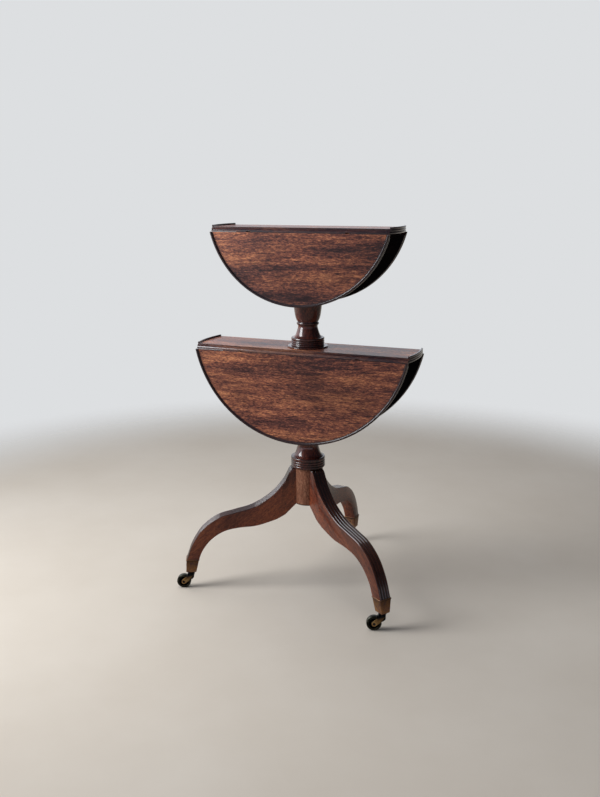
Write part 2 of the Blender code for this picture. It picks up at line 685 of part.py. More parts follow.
def strap_screw(clearance=0.0):
    lift = OVERRUN if clearance else 0.0
    screw = screw_mesh(STRAP_SCREW_HEAD_RADIUS + clearance, STRAP_SCREW_SHANK_RADIUS + clearance,
                       STRAP_SCREW_LENGTH + clearance, STRAP_THICKNESS + clearance, lift)
    return moved(screw, shift(0, 0, BLOCK_BOTTOM_HEIGHT - GAP - STRAP_THICKNESS))


def strap_mesh():
    """A hub under the block, with an arm bent down along the underside of each leg."""
    low = BLOCK_BOTTOM_HEIGHT - GAP - STRAP_THICKNESS
    strap = turned([(STRAP_HUB_RADIUS, low), (STRAP_HUB_RADIUS, BLOCK_BOTTOM_HEIGHT - GAP)], BOSS_SIDES)
    outline = strap_line(GAP) + strap_line(GAP + STRAP_THICKNESS)[::-1]
    arm = prism(outline, -STRAP_WIDTH / 2, STRAP_WIDTH / 2, "Y")
    for angle in leg_angles():
        strap = united(strap, moved(arm, spin(angle)))
    return cut(strap, strap_screw(GAP))


# Caps

def cap_ring(height, inset, grow=0.0):
    """A rectangle with chamfered corners."""
    depth, width, centre = cap_half_sizes(height, inset)
    depth += grow
    width += grow
    c = CAP_CHAMFER
    corners = [(depth, width - c), (depth - c, width), (c - depth, width), (-depth, width - c),
               (-depth, c - width), (c - depth, -width), (depth - c, -width), (depth, c - width)]
    return [Vector((centre + x, y, height)) for x, y in corners]


def cap_mesh():
    bead_low = CAP_TOP_HEIGHT - CAP_BEAD_HEIGHT
    bead_mid = CAP_TOP_HEIGHT - CAP_BEAD_HEIGHT / 2
    boss = circle(CAP_BOSS_RADIUS, SWIVEL_HEIGHT, 8, phase=0.5)
    boss_ring = [point + Vector((FOOT_RADIUS, 0, 0)) for point in boss]
    rings = [boss_ring, cap_ring(CAP_BOTTOM_HEIGHT, 0), cap_ring(bead_low, 0),
             cap_ring(bead_mid, 0, CAP_BEAD), cap_ring(CAP_TOP_HEIGHT, 0),
             cap_ring(CAP_TOP_HEIGHT, CAP_WALL), cap_ring(CAP_CAVITY_FLOOR, CAP_WALL)]
    cap = rings_to_mesh(rings)
    bore = PIVOT_RADIUS + GAP
    hole = turned([(bore, SWIVEL_HEIGHT - OVERRUN), (bore, CAP_CAVITY_FLOOR + OVERRUN)], ROUND_SIDES)
    cap = cut(cap, moved(hole, shift(FOOT_RADIUS, 0, 0)))
    return cut(cap, moved(cap_screw(GAP), cap_screw_place()))


def cap_screw(clearance=0.0):
    lift = OVERRUN if clearance else 0.0
    return screw_mesh(CAP_SCREW_HEAD_RADIUS + clearance, CAP_SCREW_SHANK_RADIUS + clearance,
                      CAP_SCREW_LENGTH + clearance, CAP_WALL + clearance, lift)


def cap_screw_place():
    """Frame of the screw through the cap's inner wall, pointing away from the column."""
    height = CAP_BOTTOM_HEIGHT + CAP_HEIGHT * CAP_SCREW_SHARE
    depth, width, centre = cap_half_sizes(height, 0)
    low = cap_half_sizes(CAP_BOTTOM_HEIGHT, 0)
    lean = math.atan2((centre - depth) - (low[2] - low[0]), height - CAP_BOTTOM_HEIGHT)
    return shift(centre - depth, 0, height) @ spin(math.pi / 2 + lean, "Y")


# Castors, in the frame of the swivel: +X is the trail

def pivot_mesh():
    head = CAP_CAVITY_FLOOR + GAP
    profile = [(PIVOT_RADIUS, CROWN_TOP - PIVOT_BITE), (PIVOT_RADIUS, head), (PIVOT_HEAD_RADIUS, head),
               (PIVOT_HEAD_RADIUS, head + PIVOT_HEAD_HEIGHT / 2),
               (PIVOT_HEAD_RADIUS / 2, head + PIVOT_HEAD_HEIGHT)]
    return turned(profile, ROUND_SIDES)


def across(profile, sides, phase=0.0, closed=False):
    """Turn a profile about the axle's line."""
    mesh = turned(profile, sides, closed, phase)
    return moved(mesh, spin(math.radians(-90), "X"))


def horn_outline():
    """Side view of a cheek, with an eye round the axle and a neck under the crown."""
    eye = [(CASTOR_TRAIL + x, WHEEL_RADIUS + z)
           for x, z in arc(CHEEK_EYE_RADIUS, CHEEK_EYE_START, CHEEK_EYE_END, CHEEK_EYE_STEPS)]
    shoulder = CROWN_TOP - CROWN_THICKNESS / 2
    front, back = [(CASTOR_TRAIL * share, shoulder) for share in NECK_TOP_SHARES]
    neck = [(CASTOR_TRAIL * x, CROWN_TOP * z) for x, z in NECK_FRONT_SHARES]
    behind = [(CASTOR_TRAIL * x, CROWN_TOP * z) for x, z in NECK_BACK_SHARES]
    return [front] + neck + eye + behind + [back]


def horn_mesh():
    half = WHEEL_WIDTH / 2 + WHEEL_SIDE_PLAY + CHEEK_THICKNESS
    horn = prism(horn_outline(), -half, half, "Y")
    underside = CROWN_TOP - CROWN_THICKNESS
    crown = turned([(CROWN_RADIUS, underside), (CROWN_RADIUS, CROWN_TOP)], ROUND_SIDES * 2)
    horn = united(horn, crown)
    slot = WHEEL_WIDTH / 2 + WHEEL_SIDE_PLAY
    room = WHEEL_RADIUS + WHEEL_CLEARANCE
    wheel_room = across([(room, -slot), (room, slot)], WHEEL_SEGMENTS, 0.5)
    bore = AXLE_RADIUS + GAP
    axle_hole = across([(bore, -half - OVERRUN), (bore, half + OVERRUN)], ROUND_SIDES)
    to_axle = shift(CASTOR_TRAIL, 0, WHEEL_RADIUS)
    horn = cut(horn, moved(wheel_room, to_axle), moved(axle_hole, to_axle))
    pivot_bore = PIVOT_RADIUS + GAP
    pivot_hole = turned([(pivot_bore, CROWN_TOP - PIVOT_BITE - GAP), (pivot_bore, CROWN_TOP + OVERRUN)],
                        ROUND_SIDES)
    return cut(horn, pivot_hole)


def axle_mesh():
    half = WHEEL_WIDTH / 2 + WHEEL_SIDE_PLAY + CHEEK_THICKNESS + GAP
    end = half + AXLE_HEAD_HEIGHT
    head = [(AXLE_RADIUS, half), (AXLE_HEAD_RADIUS, half), (AXLE_HEAD_RADIUS * AXLE_HEAD_SHARE, end)]
    profile = [(r, -z) for r, z in reversed(head)] + head
    return across(profile, ROUND_SIDES)


def wheel_mesh():
    """The wheel about its axle, with a flat facet of its tread down."""
    stretch = 1 / math.cos(math.pi / WHEEL_SEGMENTS)
    half = WHEEL_WIDTH / 2
    bore = AXLE_RADIUS + GAP
    web = half - WHEEL_RECESS
    side = [(bore, half), (WHEEL_HUB_RADIUS, half), (WHEEL_HUB_RADIUS, web), (WHEEL_RIM_RADIUS, web),
            (WHEEL_RADIUS - WHEEL_ROUND / 2, half - WHEEL_RECESS / 3), (WHEEL_RADIUS, half - WHEEL_ROUND)]
    profile = [(r * stretch, z) for r, z in side] + [(r * stretch, -z) for r, z in reversed(side)]
    return across(profile, WHEEL_SEGMENTS, 0.5, closed=True)


def build_foot(name, angle, root, woods, metals):
    add_piece("leg_" + name, leg_mesh(), woods["column"], root, angle)
    add_piece("castor_cap_" + name, cap_mesh(), metals["brass"], root, angle)
    screw = moved(cap_screw(), cap_screw_place())
    add_piece("cap_screw_" + name, screw, metals["steel"], root, angle)
    centre = (FOOT_RADIUS * math.cos(angle), FOOT_RADIUS * math.sin(angle), 0)
    swivel = add_empty("castor_swivel_" + name, centre, (0, 0, CASTOR_TRAIL_ANGLE), root)
    add_piece("castor_pivot_" + name, pivot_mesh(), metals["steel"], swivel)
    add_piece("castor_horn_" + name, horn_mesh(), metals["brass"], swivel)
    axle_point = (CASTOR_TRAIL, 0, WHEEL_RADIUS)
    axle_line = add_empty("castor_axle_line_" + name, axle_point, parent=swivel)
    add_piece("castor_axle_" + name, axle_mesh(), metals["steel"], axle_line)
    add_piece("castor_wheel_" + name, wheel_mesh(), metals["wheel"], axle_line)


def main():
    for item in list(bpy.data.objects):
        bpy.data.objects.remove(item)
    woods = {
        "top": new_material("mahogany_top", (0.18, 0.055, 0.028), 0.3, 0.0),
        "column": new_material("mahogany_turned", (0.12, 0.035, 0.022), 0.25, 0.0),
    }
    metals = {
        "brass": new_material("old_brass", (0.38, 0.24, 0.09), 0.35, 1.0),
        "steel": new_material("dark_steel", (0.12, 0.11, 0.10), 0.45, 1.0),
        "iron": new_material("black_iron", (0.04, 0.04, 0.04), 0.6, 1.0),
        "wheel": new_material("wheel_bronze", (0.05, 0.045, 0.03), 0.4, 1.0),
    }
    root = add_empty("column_axis", AXIS_POINT)
    add_piece("lower_column", lower_column_mesh(), woods["column"], root)
    add_piece("upper_column", upper_column_mesh(), woods["column"], root)
    for name, angle in zip(LEG_NAMES, leg_angles()):
        build_foot(name, angle, root, woods, metals)
    add_piece("base_strap", strap_mesh(), metals["iron"], root)
    add_piece("strap_screw", strap_screw(), metals["steel"], root)
    build_tier("lower", LOWER_TIER_RADIUS, LOWER_FIELD_HEIGHT, root, woods, metals)
    build_tier("upper", UPPER_TIER_RADIUS, UPPER_FIELD_HEIGHT, root, woods, metals)


main()
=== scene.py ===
"""Looks of the two-tier drop-leaf dumbwaiter table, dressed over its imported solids.

Metres, +Z up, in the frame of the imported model. The sizes repeat those of the solids, which stay the
dimensions' authority. Each visible piece is a finer form of its solid, in the solid's own place. Only
the castors' pivots are the solids themselves.
"""

from math import acos, asin, atan2, cos, hypot, pi, radians, sin, sqrt, tan

import bmesh
import bpy
from mathutils import Matrix, Vector


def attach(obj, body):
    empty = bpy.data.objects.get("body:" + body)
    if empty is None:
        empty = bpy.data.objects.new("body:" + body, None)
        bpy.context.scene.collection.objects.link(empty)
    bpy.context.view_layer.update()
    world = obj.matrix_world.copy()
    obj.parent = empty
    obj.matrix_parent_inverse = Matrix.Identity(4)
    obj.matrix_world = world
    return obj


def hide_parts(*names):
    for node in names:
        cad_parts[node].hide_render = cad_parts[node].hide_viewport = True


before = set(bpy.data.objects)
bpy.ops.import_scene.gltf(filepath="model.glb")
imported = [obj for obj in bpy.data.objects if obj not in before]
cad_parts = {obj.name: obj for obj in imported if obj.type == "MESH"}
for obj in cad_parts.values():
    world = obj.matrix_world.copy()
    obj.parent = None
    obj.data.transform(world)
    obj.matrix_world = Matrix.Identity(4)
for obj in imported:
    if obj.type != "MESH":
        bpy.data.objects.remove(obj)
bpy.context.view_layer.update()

# Sizes of the solids, in metres. A share is a part of another length
GAP = 0.0003
RULE_CLEARANCE = 0.0004
TIER_RADII = {"lower": 0.2837, "upper": 0.2354}
FIELD_HEIGHTS = {"lower": 0.6368, "upper": 0.9288}
BED_HALF = 0.060
BOARD_THICKNESS = 0.0115
UNDERSIDES = {name: height - BOARD_THICKNESS for name, height in FIELD_HEIGHTS.items()}
LIP_HEIGHT = 0.004
EDGE_HEIGHT = BOARD_THICKNESS + LIP_HEIGHT
LIP_WIDTH = 0.0045
LIP_SLOPE = 0.0012
EDGE_REEDS = 3
EDGE_REED_DEPTH = 0.0015
OVOLO_RADIUS = 0.0085
COVE_RADIUS = OVOLO_RADIUS + RULE_CLEARANCE
HINGE_PLACE_SHARE = 0.55
HINGE_WIDTH = 0.032
BED_FLAP_LENGTH = 0.024
LEAF_FLAP_LENGTH = 0.040
FLAP_THICKNESS = 0.0014
KNUCKLE_RADIUS = 0.0027
KNUCKLE_SEAM = radians(20)
HINGE_PIN_RADIUS = 0.0012
BEARER_REACH_SHARE = 0.6
BEARER_WIDTH = 0.026
BEARER_THICKNESS = 0.015
BEARER_TIP_THICKNESS = 0.008
BEARER_TAPER_SHARE = 0.45
BEARER_RING_RADIUS = 0.043
BOSS_RADIUS = 0.030
BOSS_THICKNESS = 0.0156
SPIGOT_RADIUS = 0.016
TENON_RADIUS = 0.010
TENON_BITE = 0.014
CAPITAL_RADIUS = 0.0375
CAPITAL_EDGE = 0.005
LOWER_VASE_RADIUS = 0.0395
UPPER_VASE_RADIUS = 0.0358
COLLAR_HEIGHT = 0.327
COLLAR_REED_RADIUS = 0.0436
COLLAR_REED_HEIGHT = 0.0061
COLLAR_TORUS_HEIGHT = 0.0086
FLANGE_RADIUS = 0.0500
FLANGE_HEIGHT = 0.0028
FOOT_REED_RADIUS = 0.0412
FOOT_REED_HEIGHT = 0.0047
FOOT_TORUS_HEIGHT = 0.0067
COLUMN_REEDS = 3
COLUMN_REED_DEPTH = 0.0016
BLOCK_RADIUS = 0.037
BLOCK_BOTTOM = 0.2295
CAVETTO_SHARES = ((0.0, 0.99), (0.022, 0.86), (0.06, 0.762), (0.108, 0.68), (0.128, 0.69))
VASE_SHARES = ((0.164, 0.70), (0.18, 0.775), (0.22, 0.865), (0.28, 0.93), (0.35, 0.977), (0.43, 1.0),
               (0.52, 0.99), (0.60, 0.935), (0.68, 0.835), (0.75, 0.725), (0.81, 0.63), (0.87, 0.57))
NECK_SHARES = ((0.922, 0.58), (0.95, 0.65), (0.972, 0.80), (0.985, 0.93))
LEG_NAMES = ("back", "left", "right")
LEG_ANGLES = [radians(86.74 + 120 * k) for k in range(3)]
FOOT_RADIUS = 0.307
AXIS_POINT = Vector((0.0457 * FOOT_RADIUS, -0.2148 * FOOT_RADIUS, 0))
LEG_THICKNESS = 0.036
LEG_FOOT_THICKNESS = 0.031
LEG_REEDS = 4
LEG_REED_DEPTH = 0.0024
LEG_TOP_SHARES = ((0.0, 1.0), (0.048, 0.978), (0.108, 0.846), (0.222, 0.696), (0.390, 0.573),
                  (0.560, 0.5154), (0.710, 0.4623), (0.850, 0.3407), (0.945, 0.1723), (1.0, 0.0))
LEG_UNDERSIDE_SHARES = ((0.096, 0.486), (0.150, 0.448), (0.205, 0.4189), (0.360, 0.3643), (0.525, 0.3465),
                        (0.655, 0.3098), (0.765, 0.2278), (0.845, 0.1139), (0.888, 0.0))
DOVETAIL_NECK = 0.012
DOVETAIL_WIDTH = 0.018
DOVETAIL_DEPTH = 0.011
DOVETAIL_SHOULDER = 0.006
STRAP_THICKNESS = 0.002
STRAP_WIDTH = 0.014
STRAP_HUB_RADIUS = 0.028
STRAP_ARM_REACH = 0.020
STRAP_SCREW_RADIUS = 0.0042
CAP_HEIGHT = 0.036
CAP_BOTTOM = 0.0465
CAP_LEAN = 0.005
CAP_TOP_DEPTH = 0.033
CAP_TOP_WIDTH = 0.033
CAP_BOTTOM_DEPTH = 0.0265
CAP_BOTTOM_WIDTH = 0.0245
CAP_WALL = 0.0016
CAP_FLOOR = 0.004
CAP_BEAD = 0.0009
CAP_BEAD_HEIGHT = 0.003
CAP_BOSS_HEIGHT = 0.0025
CAP_SCREW_RADIUS = 0.0026
CAP_SCREW_SHARE = 0.62
TRAIL_ANGLE = radians(202.5)
CASTOR_TRAIL = 0.0200
WHEEL_RADIUS = 0.0182
WHEEL_WIDTH = 0.013
WHEEL_ROUND = 0.0022
WHEEL_HUB_RADIUS = 0.0062
WHEEL_RIM_RADIUS = 0.0125
WHEEL_RECESS = 0.0016
WHEEL_SIDE_PLAY = 0.0006
WHEEL_CLEARANCE = 0.0012
AXLE_RADIUS = 0.0018
AXLE_HEAD_RADIUS = 0.0034
AXLE_HEAD_STEP = 0.0003
AXLE_HEAD_DOME = 0.0008
CHEEK_THICKNESS = 0.0024
EYE_RADIUS = 0.0058
EYE_START = radians(-125)
EYE_END = radians(50)
CROWN_RADIUS = 0.0095
CROWN_THICKNESS = 0.003
NECK_TOP_SHARES = (-0.36, 0.47)
NECK_FRONT_SHARES = ((-0.33, 0.73), (-0.21, 0.635), (0.12, 0.54), (0.48, 0.42))
NECK_BACK_SHARES = ((0.98, 0.61), (0.63, 0.71), (0.48, 0.80))
PIVOT_RADIUS = 0.003
PIVOT_BITE = 0.010
CAP_TOP = CAP_BOTTOM + CAP_HEIGHT
CAP_CAVITY_FLOOR = CAP_BOTTOM + CAP_FLOOR
SWIVEL_HEIGHT = CAP_BOTTOM - CAP_BOSS_HEIGHT
CROWN_TOP = SWIVEL_HEIGHT - GAP
SEAT_RADIUS = sqrt(BLOCK_RADIUS ** 2 - (LEG_THICKNESS / 2 + GAP) ** 2)
LEG_START = SEAT_RADIUS + GAP

# Sides of what is turned
BOARD_SIDES = 240
COLUMN_SIDES = 112
WHEEL_SIDES = 72
RING_SIDES = 64
CROWN_SIDES = 48
SMALL_SIDES = 40
AXLE_SIDES = 32
SCREW_SIDES = 28
BORE_SIDES = 24
PIN_SIDES = 20

# Steps along curves
EYE_STEPS = 22
KNUCKLE_STEPS = 20
ARC_STEPS = 14
BEAD_STEPS = 10
REED_STEPS = 8
CAP_BEAD_STEPS = 7
CURVE_STEPS = 6
CAP_CORNER_STEPS = 5
ARRIS_STEPS = 4
LEG_CORNER_STEPS = 3

# Forms that the solids leave out or hold in facets, how far a cutter runs past a face, and angles
OVERRUN = 0.002
HAIR = 0.0001
ARRIS = 0.0007
SOFT_EDGE = 0.0006
FIELD_INSET = 0.003
BEAD_QUIRK = 0.0006
PIN_END_SHARE = 0.7
PIN_CHAMFER = 0.0003
BOSS_EDGE = 0.0008
CAP_CORNER = 0.0022
CAP_BOSS_RADIUS = 0.0092
LEG_CORNER = 0.0011
LEG_END_ROOM = 0.0021
HUB_EDGE = 0.0004
RIM_STEP = 0.0005
RIM_SLOPE = 0.0006
TREAD_STEP = 0.0003
COLLAR_SHADE_HEIGHT = 0.004
SMOOTH_ANGLE = radians(34)
BEVEL_ANGLE = radians(38)
CAP_CIRCLE_INSET = 0.05
DOWNWARD = -0.99

# Tones: 0 is plain wood or metal, and 1 is the darkest colour and, on wood, a coated edge. Tone paints shade
# into grooves, gaps, recesses and under beads and collars, paints the legs' reeded tops nearly black as
# shade, darkens the boards' edges and lips and the upper column's flange, and gives the castors' horns their
# dark necks
CREST_TONE = 0.25
FLANGE_TONE = 0.5
JOINT_TONE = 0.7
LIP_TONE = 0.8
# Legs: the reeded tops are painted nearly black, painted shade with grime in the reeds, and the sides are
# darker towards the top
LEG_CREST_TONE = 0.76
LEG_SIDE_TONE = 0.4
LEG_CORNER_TONE = 0.15

# Bead below the vase and astragal above it: radius, lower end, height and depth, as shares
LOWER_BEAD = (0.768, 0.128, 0.036, 0.066)
UPPER_BEAD = (0.67, 0.875, 0.043, 0.09)

# Screws: a head with a low dome and a slot, its shank as (radius, depth), and the hole that it lies in
SCREW_DOME = 0.00028
SCREW_SHANK_SHARES = ((0.45, 0.6), (0.42, 2.6), (0.1, 3.2))
SLOT_SHARE = 0.12
SLOT_DEPTH = 0.0005
SINK_REACH = 0.001
SINK_DEPTH = 0.004
FLAP_SCREW_RADIUS = 0.0029
BED_SCREWS = ((-0.016, -0.0095), (-0.016, 0.0095))
LEAF_SCREWS = ((0.020, 0.0), (0.033, -0.0105), (0.033, 0.0105))
STRAP_SCREW_SHARE = 0.62

LEAVES = (("front", -1), ("back", 1))

# Grain along X, and the grain of a turning, which runs along Z
LEVEL_GRAIN = Matrix.Identity(3)
UPRIGHT_GRAIN = Matrix(((0, 0, 1), (1, 0, 0), (0, 1, 0)))

# Where the grain of each piece starts in the wood's coordinates, so that no two boards are alike
GRAIN_STARTS = {
    "lower_bed": (0.7, 0.31, 0.2), "upper_bed": (1.4, 0.31, 0.2),
    "lower_front_leaf": (3.19, 1.19, 0.4), "lower_back_leaf": (4.41, 2.19, 0.4),
    "upper_front_leaf": (4.09, 0.98, 0.4), "upper_back_leaf": (5.31, 1.98, 0.4),
    "lower_bearer": (0.4, 0.8, 0.6), "upper_bearer": (0.8, 0.8, 0.6),
    "lower_pad": (0.2, 0.3, 0.9), "upper_pad": (0.4, 0.3, 0.9),
    "lower_column": (0.9, 0.6, 2.1), "upper_column": (0.3, 1.7, 0.4),
}

# The wood's layers: scale along and across the grain, detail and roughness of the noise
WOOD_LAYERS = {
    "bands": ((3.2, 22.0, 22.0), 3.0, 0.55),
    "streaks": ((15.0, 150.0, 150.0), 5.0, 0.72),
    "flecks": ((80.0, 330.0, 330.0), 3.0, 0.65),
    "fibres": ((160.0, 900.0, 900.0), 2.0, 0.6),
    "pores": ((170.0, 900.0, 900.0), 2.0, 0.5),
}
WOOD_SHARES = {"bands": 0.31, "streaks": 0.23, "flecks": 0.27, "fibres": 0.19}
WOOD_SPREAD = 0.105
TONE_PLACES = (0.0, 0.32, 0.64, 1.0)
BEND_SCALE = (2.6, 7.0, 7.0)
CLOUD_SCALE = (5.0, 7.5, 7.5)
PATINA_SCALE = (95.0, 95.0, 95.0)
SPECK_SCALE = (620.0, 620.0, 620.0)


def spin(angle, axis="Z"):
    return Matrix.Rotation(angle, 4, axis)


def shift(x, y, z):
    return Matrix.Translation((x, y, z))


ROOT = shift(*AXIS_POINT)


def add_object(name, data):
    item = bpy.data.objects.new(name, data)
    bpy.context.scene.collection.objects.link(item)
    return item


# Meshes

def finish_mesh(bm):
    bmesh.ops.recalc_face_normals(bm, faces=bm.faces)
    mesh = bpy.data.meshes.new("shape")
    bm.to_mesh(mesh)
    bm.free()
    return mesh


def skin_mesh(rings, tones=None, closed=False):
    """Skin rings of points that have the same count, with a tone for each point of a ring."""
    bm = bmesh.new()
    layer = bm.verts.layers.float.new("tone")
    rows = []
    for k, ring in enumerate(rings):
        row = [bm.verts.new(point) for point in ring]
        if tones:
            for i, vert in enumerate(row):
                vert[layer] = tones[k][i]
        rows.append(row)
    pairs = list(zip(rows, rows[1:]))
    if closed:
        pairs.append((rows[-1], rows[0]))
    else:
        bm.faces.new(rows[0][::-1])
        bm.faces.new(rows[-1])
    count = len(rows[0])
    for low, high in pairs:
        for i in range(count):
            j = (i + 1) % count
            bm.faces.new((low[i], low[j], high[j], high[i]))
    return finish_mesh(bm)


def turned(profile, sides, closed=False):
    """Turn points of (radius, height) or (radius, height, tone) about Z."""
    turns = [2 * pi * i / sides for i in range(sides)]
    rings = [[(p[0] * cos(a), p[0] * sin(a), p[1]) for a in turns] for p in profile]
    tones = [[p[2] if len(p) > 2 else 0.0] * sides for p in profile]
    return skin_mesh(rings, tones, closed)


def prism(outline, low, high, axis="Z"):
    place = {
        "X": lambda u, v, w: (w, u, v),
        "Y": lambda u, v, w: (u, w, v),
        "Z": lambda u, v, w: (u, v, w),
    }[axis]
    return skin_mesh([[place(u, v, w) for u, v in outline] for w in (low, high)])


def box(low, high):
    outline = ((low[0], low[1]), (high[0], low[1]), (high[0], high[1]), (low[0], high[1]))
    return prism(outline, low[2], high[2])


def moved(mesh, matrix):
    copy = mesh.copy()
    copy.transform(matrix)
    return copy


def rod(radius, low, high, sides):
    return turned([(radius, low), (radius, high)], sides)


def across(profile, sides, closed=False):
    """Turn a profile about Y."""
    return moved(turned(profile, sides, closed), spin(-pi / 2, "X"))


def joined(*meshes):
    bm = bmesh.new()
    for mesh in meshes:
        bm.from_mesh(mesh)
    mesh = bpy.data.meshes.new("shape")
    bm.to_mesh(mesh)
    bm.free()
    return mesh


def repeated(meshes, places):
    return joined(*[moved(mesh, place) for place in places for mesh in meshes])


def combined(mesh, other, operation):
    base = add_object("base", mesh)
    tool = add_object("tool", other)
    modifier = base.modifiers.new("Boolean", "BOOLEAN")
    modifier.operation = operation
    modifier.solver = "EXACT"
    modifier.object = tool
    bpy.context.view_layer.update()
    evaluated = base.evaluated_get(bpy.context.evaluated_depsgraph_get())
    result = bpy.data.meshes.new_from_object(evaluated)
    for item in (base, tool):
        bpy.data.objects.remove(item)
    return result


def cut(mesh, *tools):
    for tool in tools:
        mesh = combined(mesh, tool, "DIFFERENCE")
    return mesh


def spline(points, steps):
    """Points on a Catmull-Rom curve through the given ones."""
    points = [Vector(point) for point in points]
    ends = [2 * points[0] - points[1]] + points + [2 * points[-1] - points[-2]]
    result = []
    for i in range(1, len(ends) - 2):
        a, b, c, d = ends[i - 1:i + 3]
        for k in range(steps):
            t = k / steps
            result.append(0.5 * (2 * b + (c - a) * t + (2 * a - 5 * b + 4 * c - d) * t * t
                                 + (3 * b - a - 3 * c + d) * t ** 3))
    return result + [points[-1]]


def arc(radius, first, last, steps, centre=(0.0, 0.0)):
    angles = [first + (last - first) * k / steps for k in range(steps + 1)]
    return [(centre[0] + radius * cos(a), centre[1] + radius * sin(a)) for a in angles]


def half_round(radius, low, height, depth, steps=BEAD_STEPS):
    """Section of a bead from groove to groove, as (radius, height, tone), with painted shade darkening the
    grooves and, a little, the crest.
    """
    points = []
    for k in range(steps + 1):
        a = pi * k / steps
        rise = sin(a)
        tone = CREST_TONE + (1 - CREST_TONE) * sqrt(1 - rise)
        points.append((radius - depth * (1 - rise), low + height * (1 - cos(a)) / 2, tone))
    return points


def reeds(radius, low, height, count, depth):
    points = []
    for k in range(count):
        points += half_round(radius, low + k * height, height, depth)[1 if k else 0:]
    return points


# Materials

class Nodes:
    """A node tree under construction."""

    def __init__(self, tree):
        self.tree = tree

    def add(self, kind, inputs=None, **settings):
        node = self.tree.nodes.new("ShaderNode" + kind)
        for key, value in settings.items():
            setattr(node, key, value)
        self.feed(node, inputs or {})
        return node

    def feed(self, node, inputs):
        for key, value in inputs.items():
            if isinstance(value, bpy.types.NodeSocket):
                self.tree.links.new(value, node.inputs[key])
            else:
                node.inputs[key].default_value = value

    def math(self, operation, a, b, clamp=False):
        return self.add("Math", {0: a, 1: b}, operation=operation, use_clamp=clamp).outputs[0]

    def vector(self, operation, a, b):
        return self.add("VectorMath", {0: a, 1: b}, operation=operation).outputs[0]

    def mix(self, share, a, b):
        return self.add("Mix", {0: share, 6: a, 7: b}, data_type="RGBA").outputs[2]

    def remap(self, value, a, b, c=0.0, d=1.0, kind="LINEAR"):
        inputs = {0: value, 1: a, 2: b, 3: c, 4: d}
        return self.add("MapRange", inputs, interpolation_type=kind).outputs[0]

    def noise(self, vector, scale, detail, roughness, output="Fac"):
        inputs = {"Vector": self.vector("MULTIPLY", vector, scale), "Scale": 1.0, "Detail": detail,
                  "Roughness": roughness}
        return self.add("TexNoise", inputs).outputs[output]

    def ramp(self, value, stops):
        node = self.add("ValToRGB", {0: value})
        elements = node.color_ramp.elements
        while len(elements) < len(stops):
            elements.new(0.5)
        for element, (place, colour) in zip(elements, stops):
            element.position = place
            element.color = colour
        return node.outputs[0]

    def attribute(self, name, output):
        return self.add("Attribute", attribute_name=name).outputs[output]

    def bump(self, height, strength, distance):
        inputs = {"Strength": strength, "Distance": distance, "Height": height}
        return self.add("Bump", inputs).outputs[0]


class Surface(Nodes):
    """A material under construction."""

    def __init__(self, name):
        self.material = bpy.data.materials.new(name)
        self.material.use_nodes = True
        super().__init__(self.material.node_tree)
        self.shader = self.tree.nodes["Principled BSDF"]


def srgb(red, green, blue):
    """Linear colour of an 8-bit screen colour."""
    def linear(value):
        value /= 255
        return value / 12.92 if value <= 0.04045 else ((value + 0.055) / 1.055) ** 2.4
    return (linear(red), linear(green), linear(blue), 1.0)


def wood_body(m, layers, contrast):
    """Lightness of the wood from 0 to 1, summed from its layers."""
    body = 0.0
    for key, share in WOOD_SHARES.items():
        body = m.math("ADD", m.math("MULTIPLY", layers[key], share), body)
    spread = WOOD_SPREAD / contrast
    return m.remap(body, 0.5 - spread, 0.5 + spread)


def wood(name, tones, grime_and_shade, coat, sheen, roughness=0.42, contrast=1.0, wander=0.030):
    """Mahogany from its grain coordinates: bands, streaks, flecks, fibres and pores over a mottled figure."""
    m = Surface(name)
    grain = m.attribute("grain", "Vector")
    tone = m.attribute("tone", "Fac")
    bend = m.vector("SUBTRACT", m.noise(grain, BEND_SCALE, 2.0, 0.55, "Color"), (0.5, 0.5, 0.5))
    flow = m.vector("ADD", grain, m.vector("MULTIPLY", bend, (0.0, wander, wander)))
    layers = {key: m.noise(flow, *look) for key, look in WOOD_LAYERS.items()}
    tones = [srgb(*screen) for screen in tones]
    colour = m.ramp(wood_body(m, layers, contrast), list(zip(TONE_PLACES, tones)))
    shade = m.remap(m.noise(grain, CLOUD_SCALE, 3.0, 0.55), 0.33, 0.67, 0.74, 1.30)
    colour = m.add("VectorMath", {0: colour, "Scale": shade}, operation="SCALE").outputs[0]
    pore_mask = m.remap(layers["pores"], 0.54, 0.64, 0.0, 0.7)
    colour = m.mix(pore_mask, colour, (*[value * 0.4 for value in tones[0][:3]], 1.0))
    # Tone mixes in the dark colour: painted shade in grooves and under parts, and dark lips and edges
    colour = m.mix(m.math("MULTIPLY", tone, 0.96, True), colour, srgb(*grime_and_shade))
    relief = m.math("SUBTRACT", m.math("MULTIPLY", layers["fibres"], 0.6), pore_mask)
    m.feed(m.shader, {
        "Base Color": colour,
        "Roughness": m.remap(layers["streaks"], 0.3, 0.7, roughness - 0.06, roughness + 0.08),
        "Normal": m.bump(relief, 0.22, 0.0003),
        "Coat Weight": m.remap(tone, 0.0, 0.8, coat[0], coat[1]), "Coat Roughness": coat[2],
        "Coat IOR": 1.7, "Specular IOR Level": sheen,
    })
    return m.material


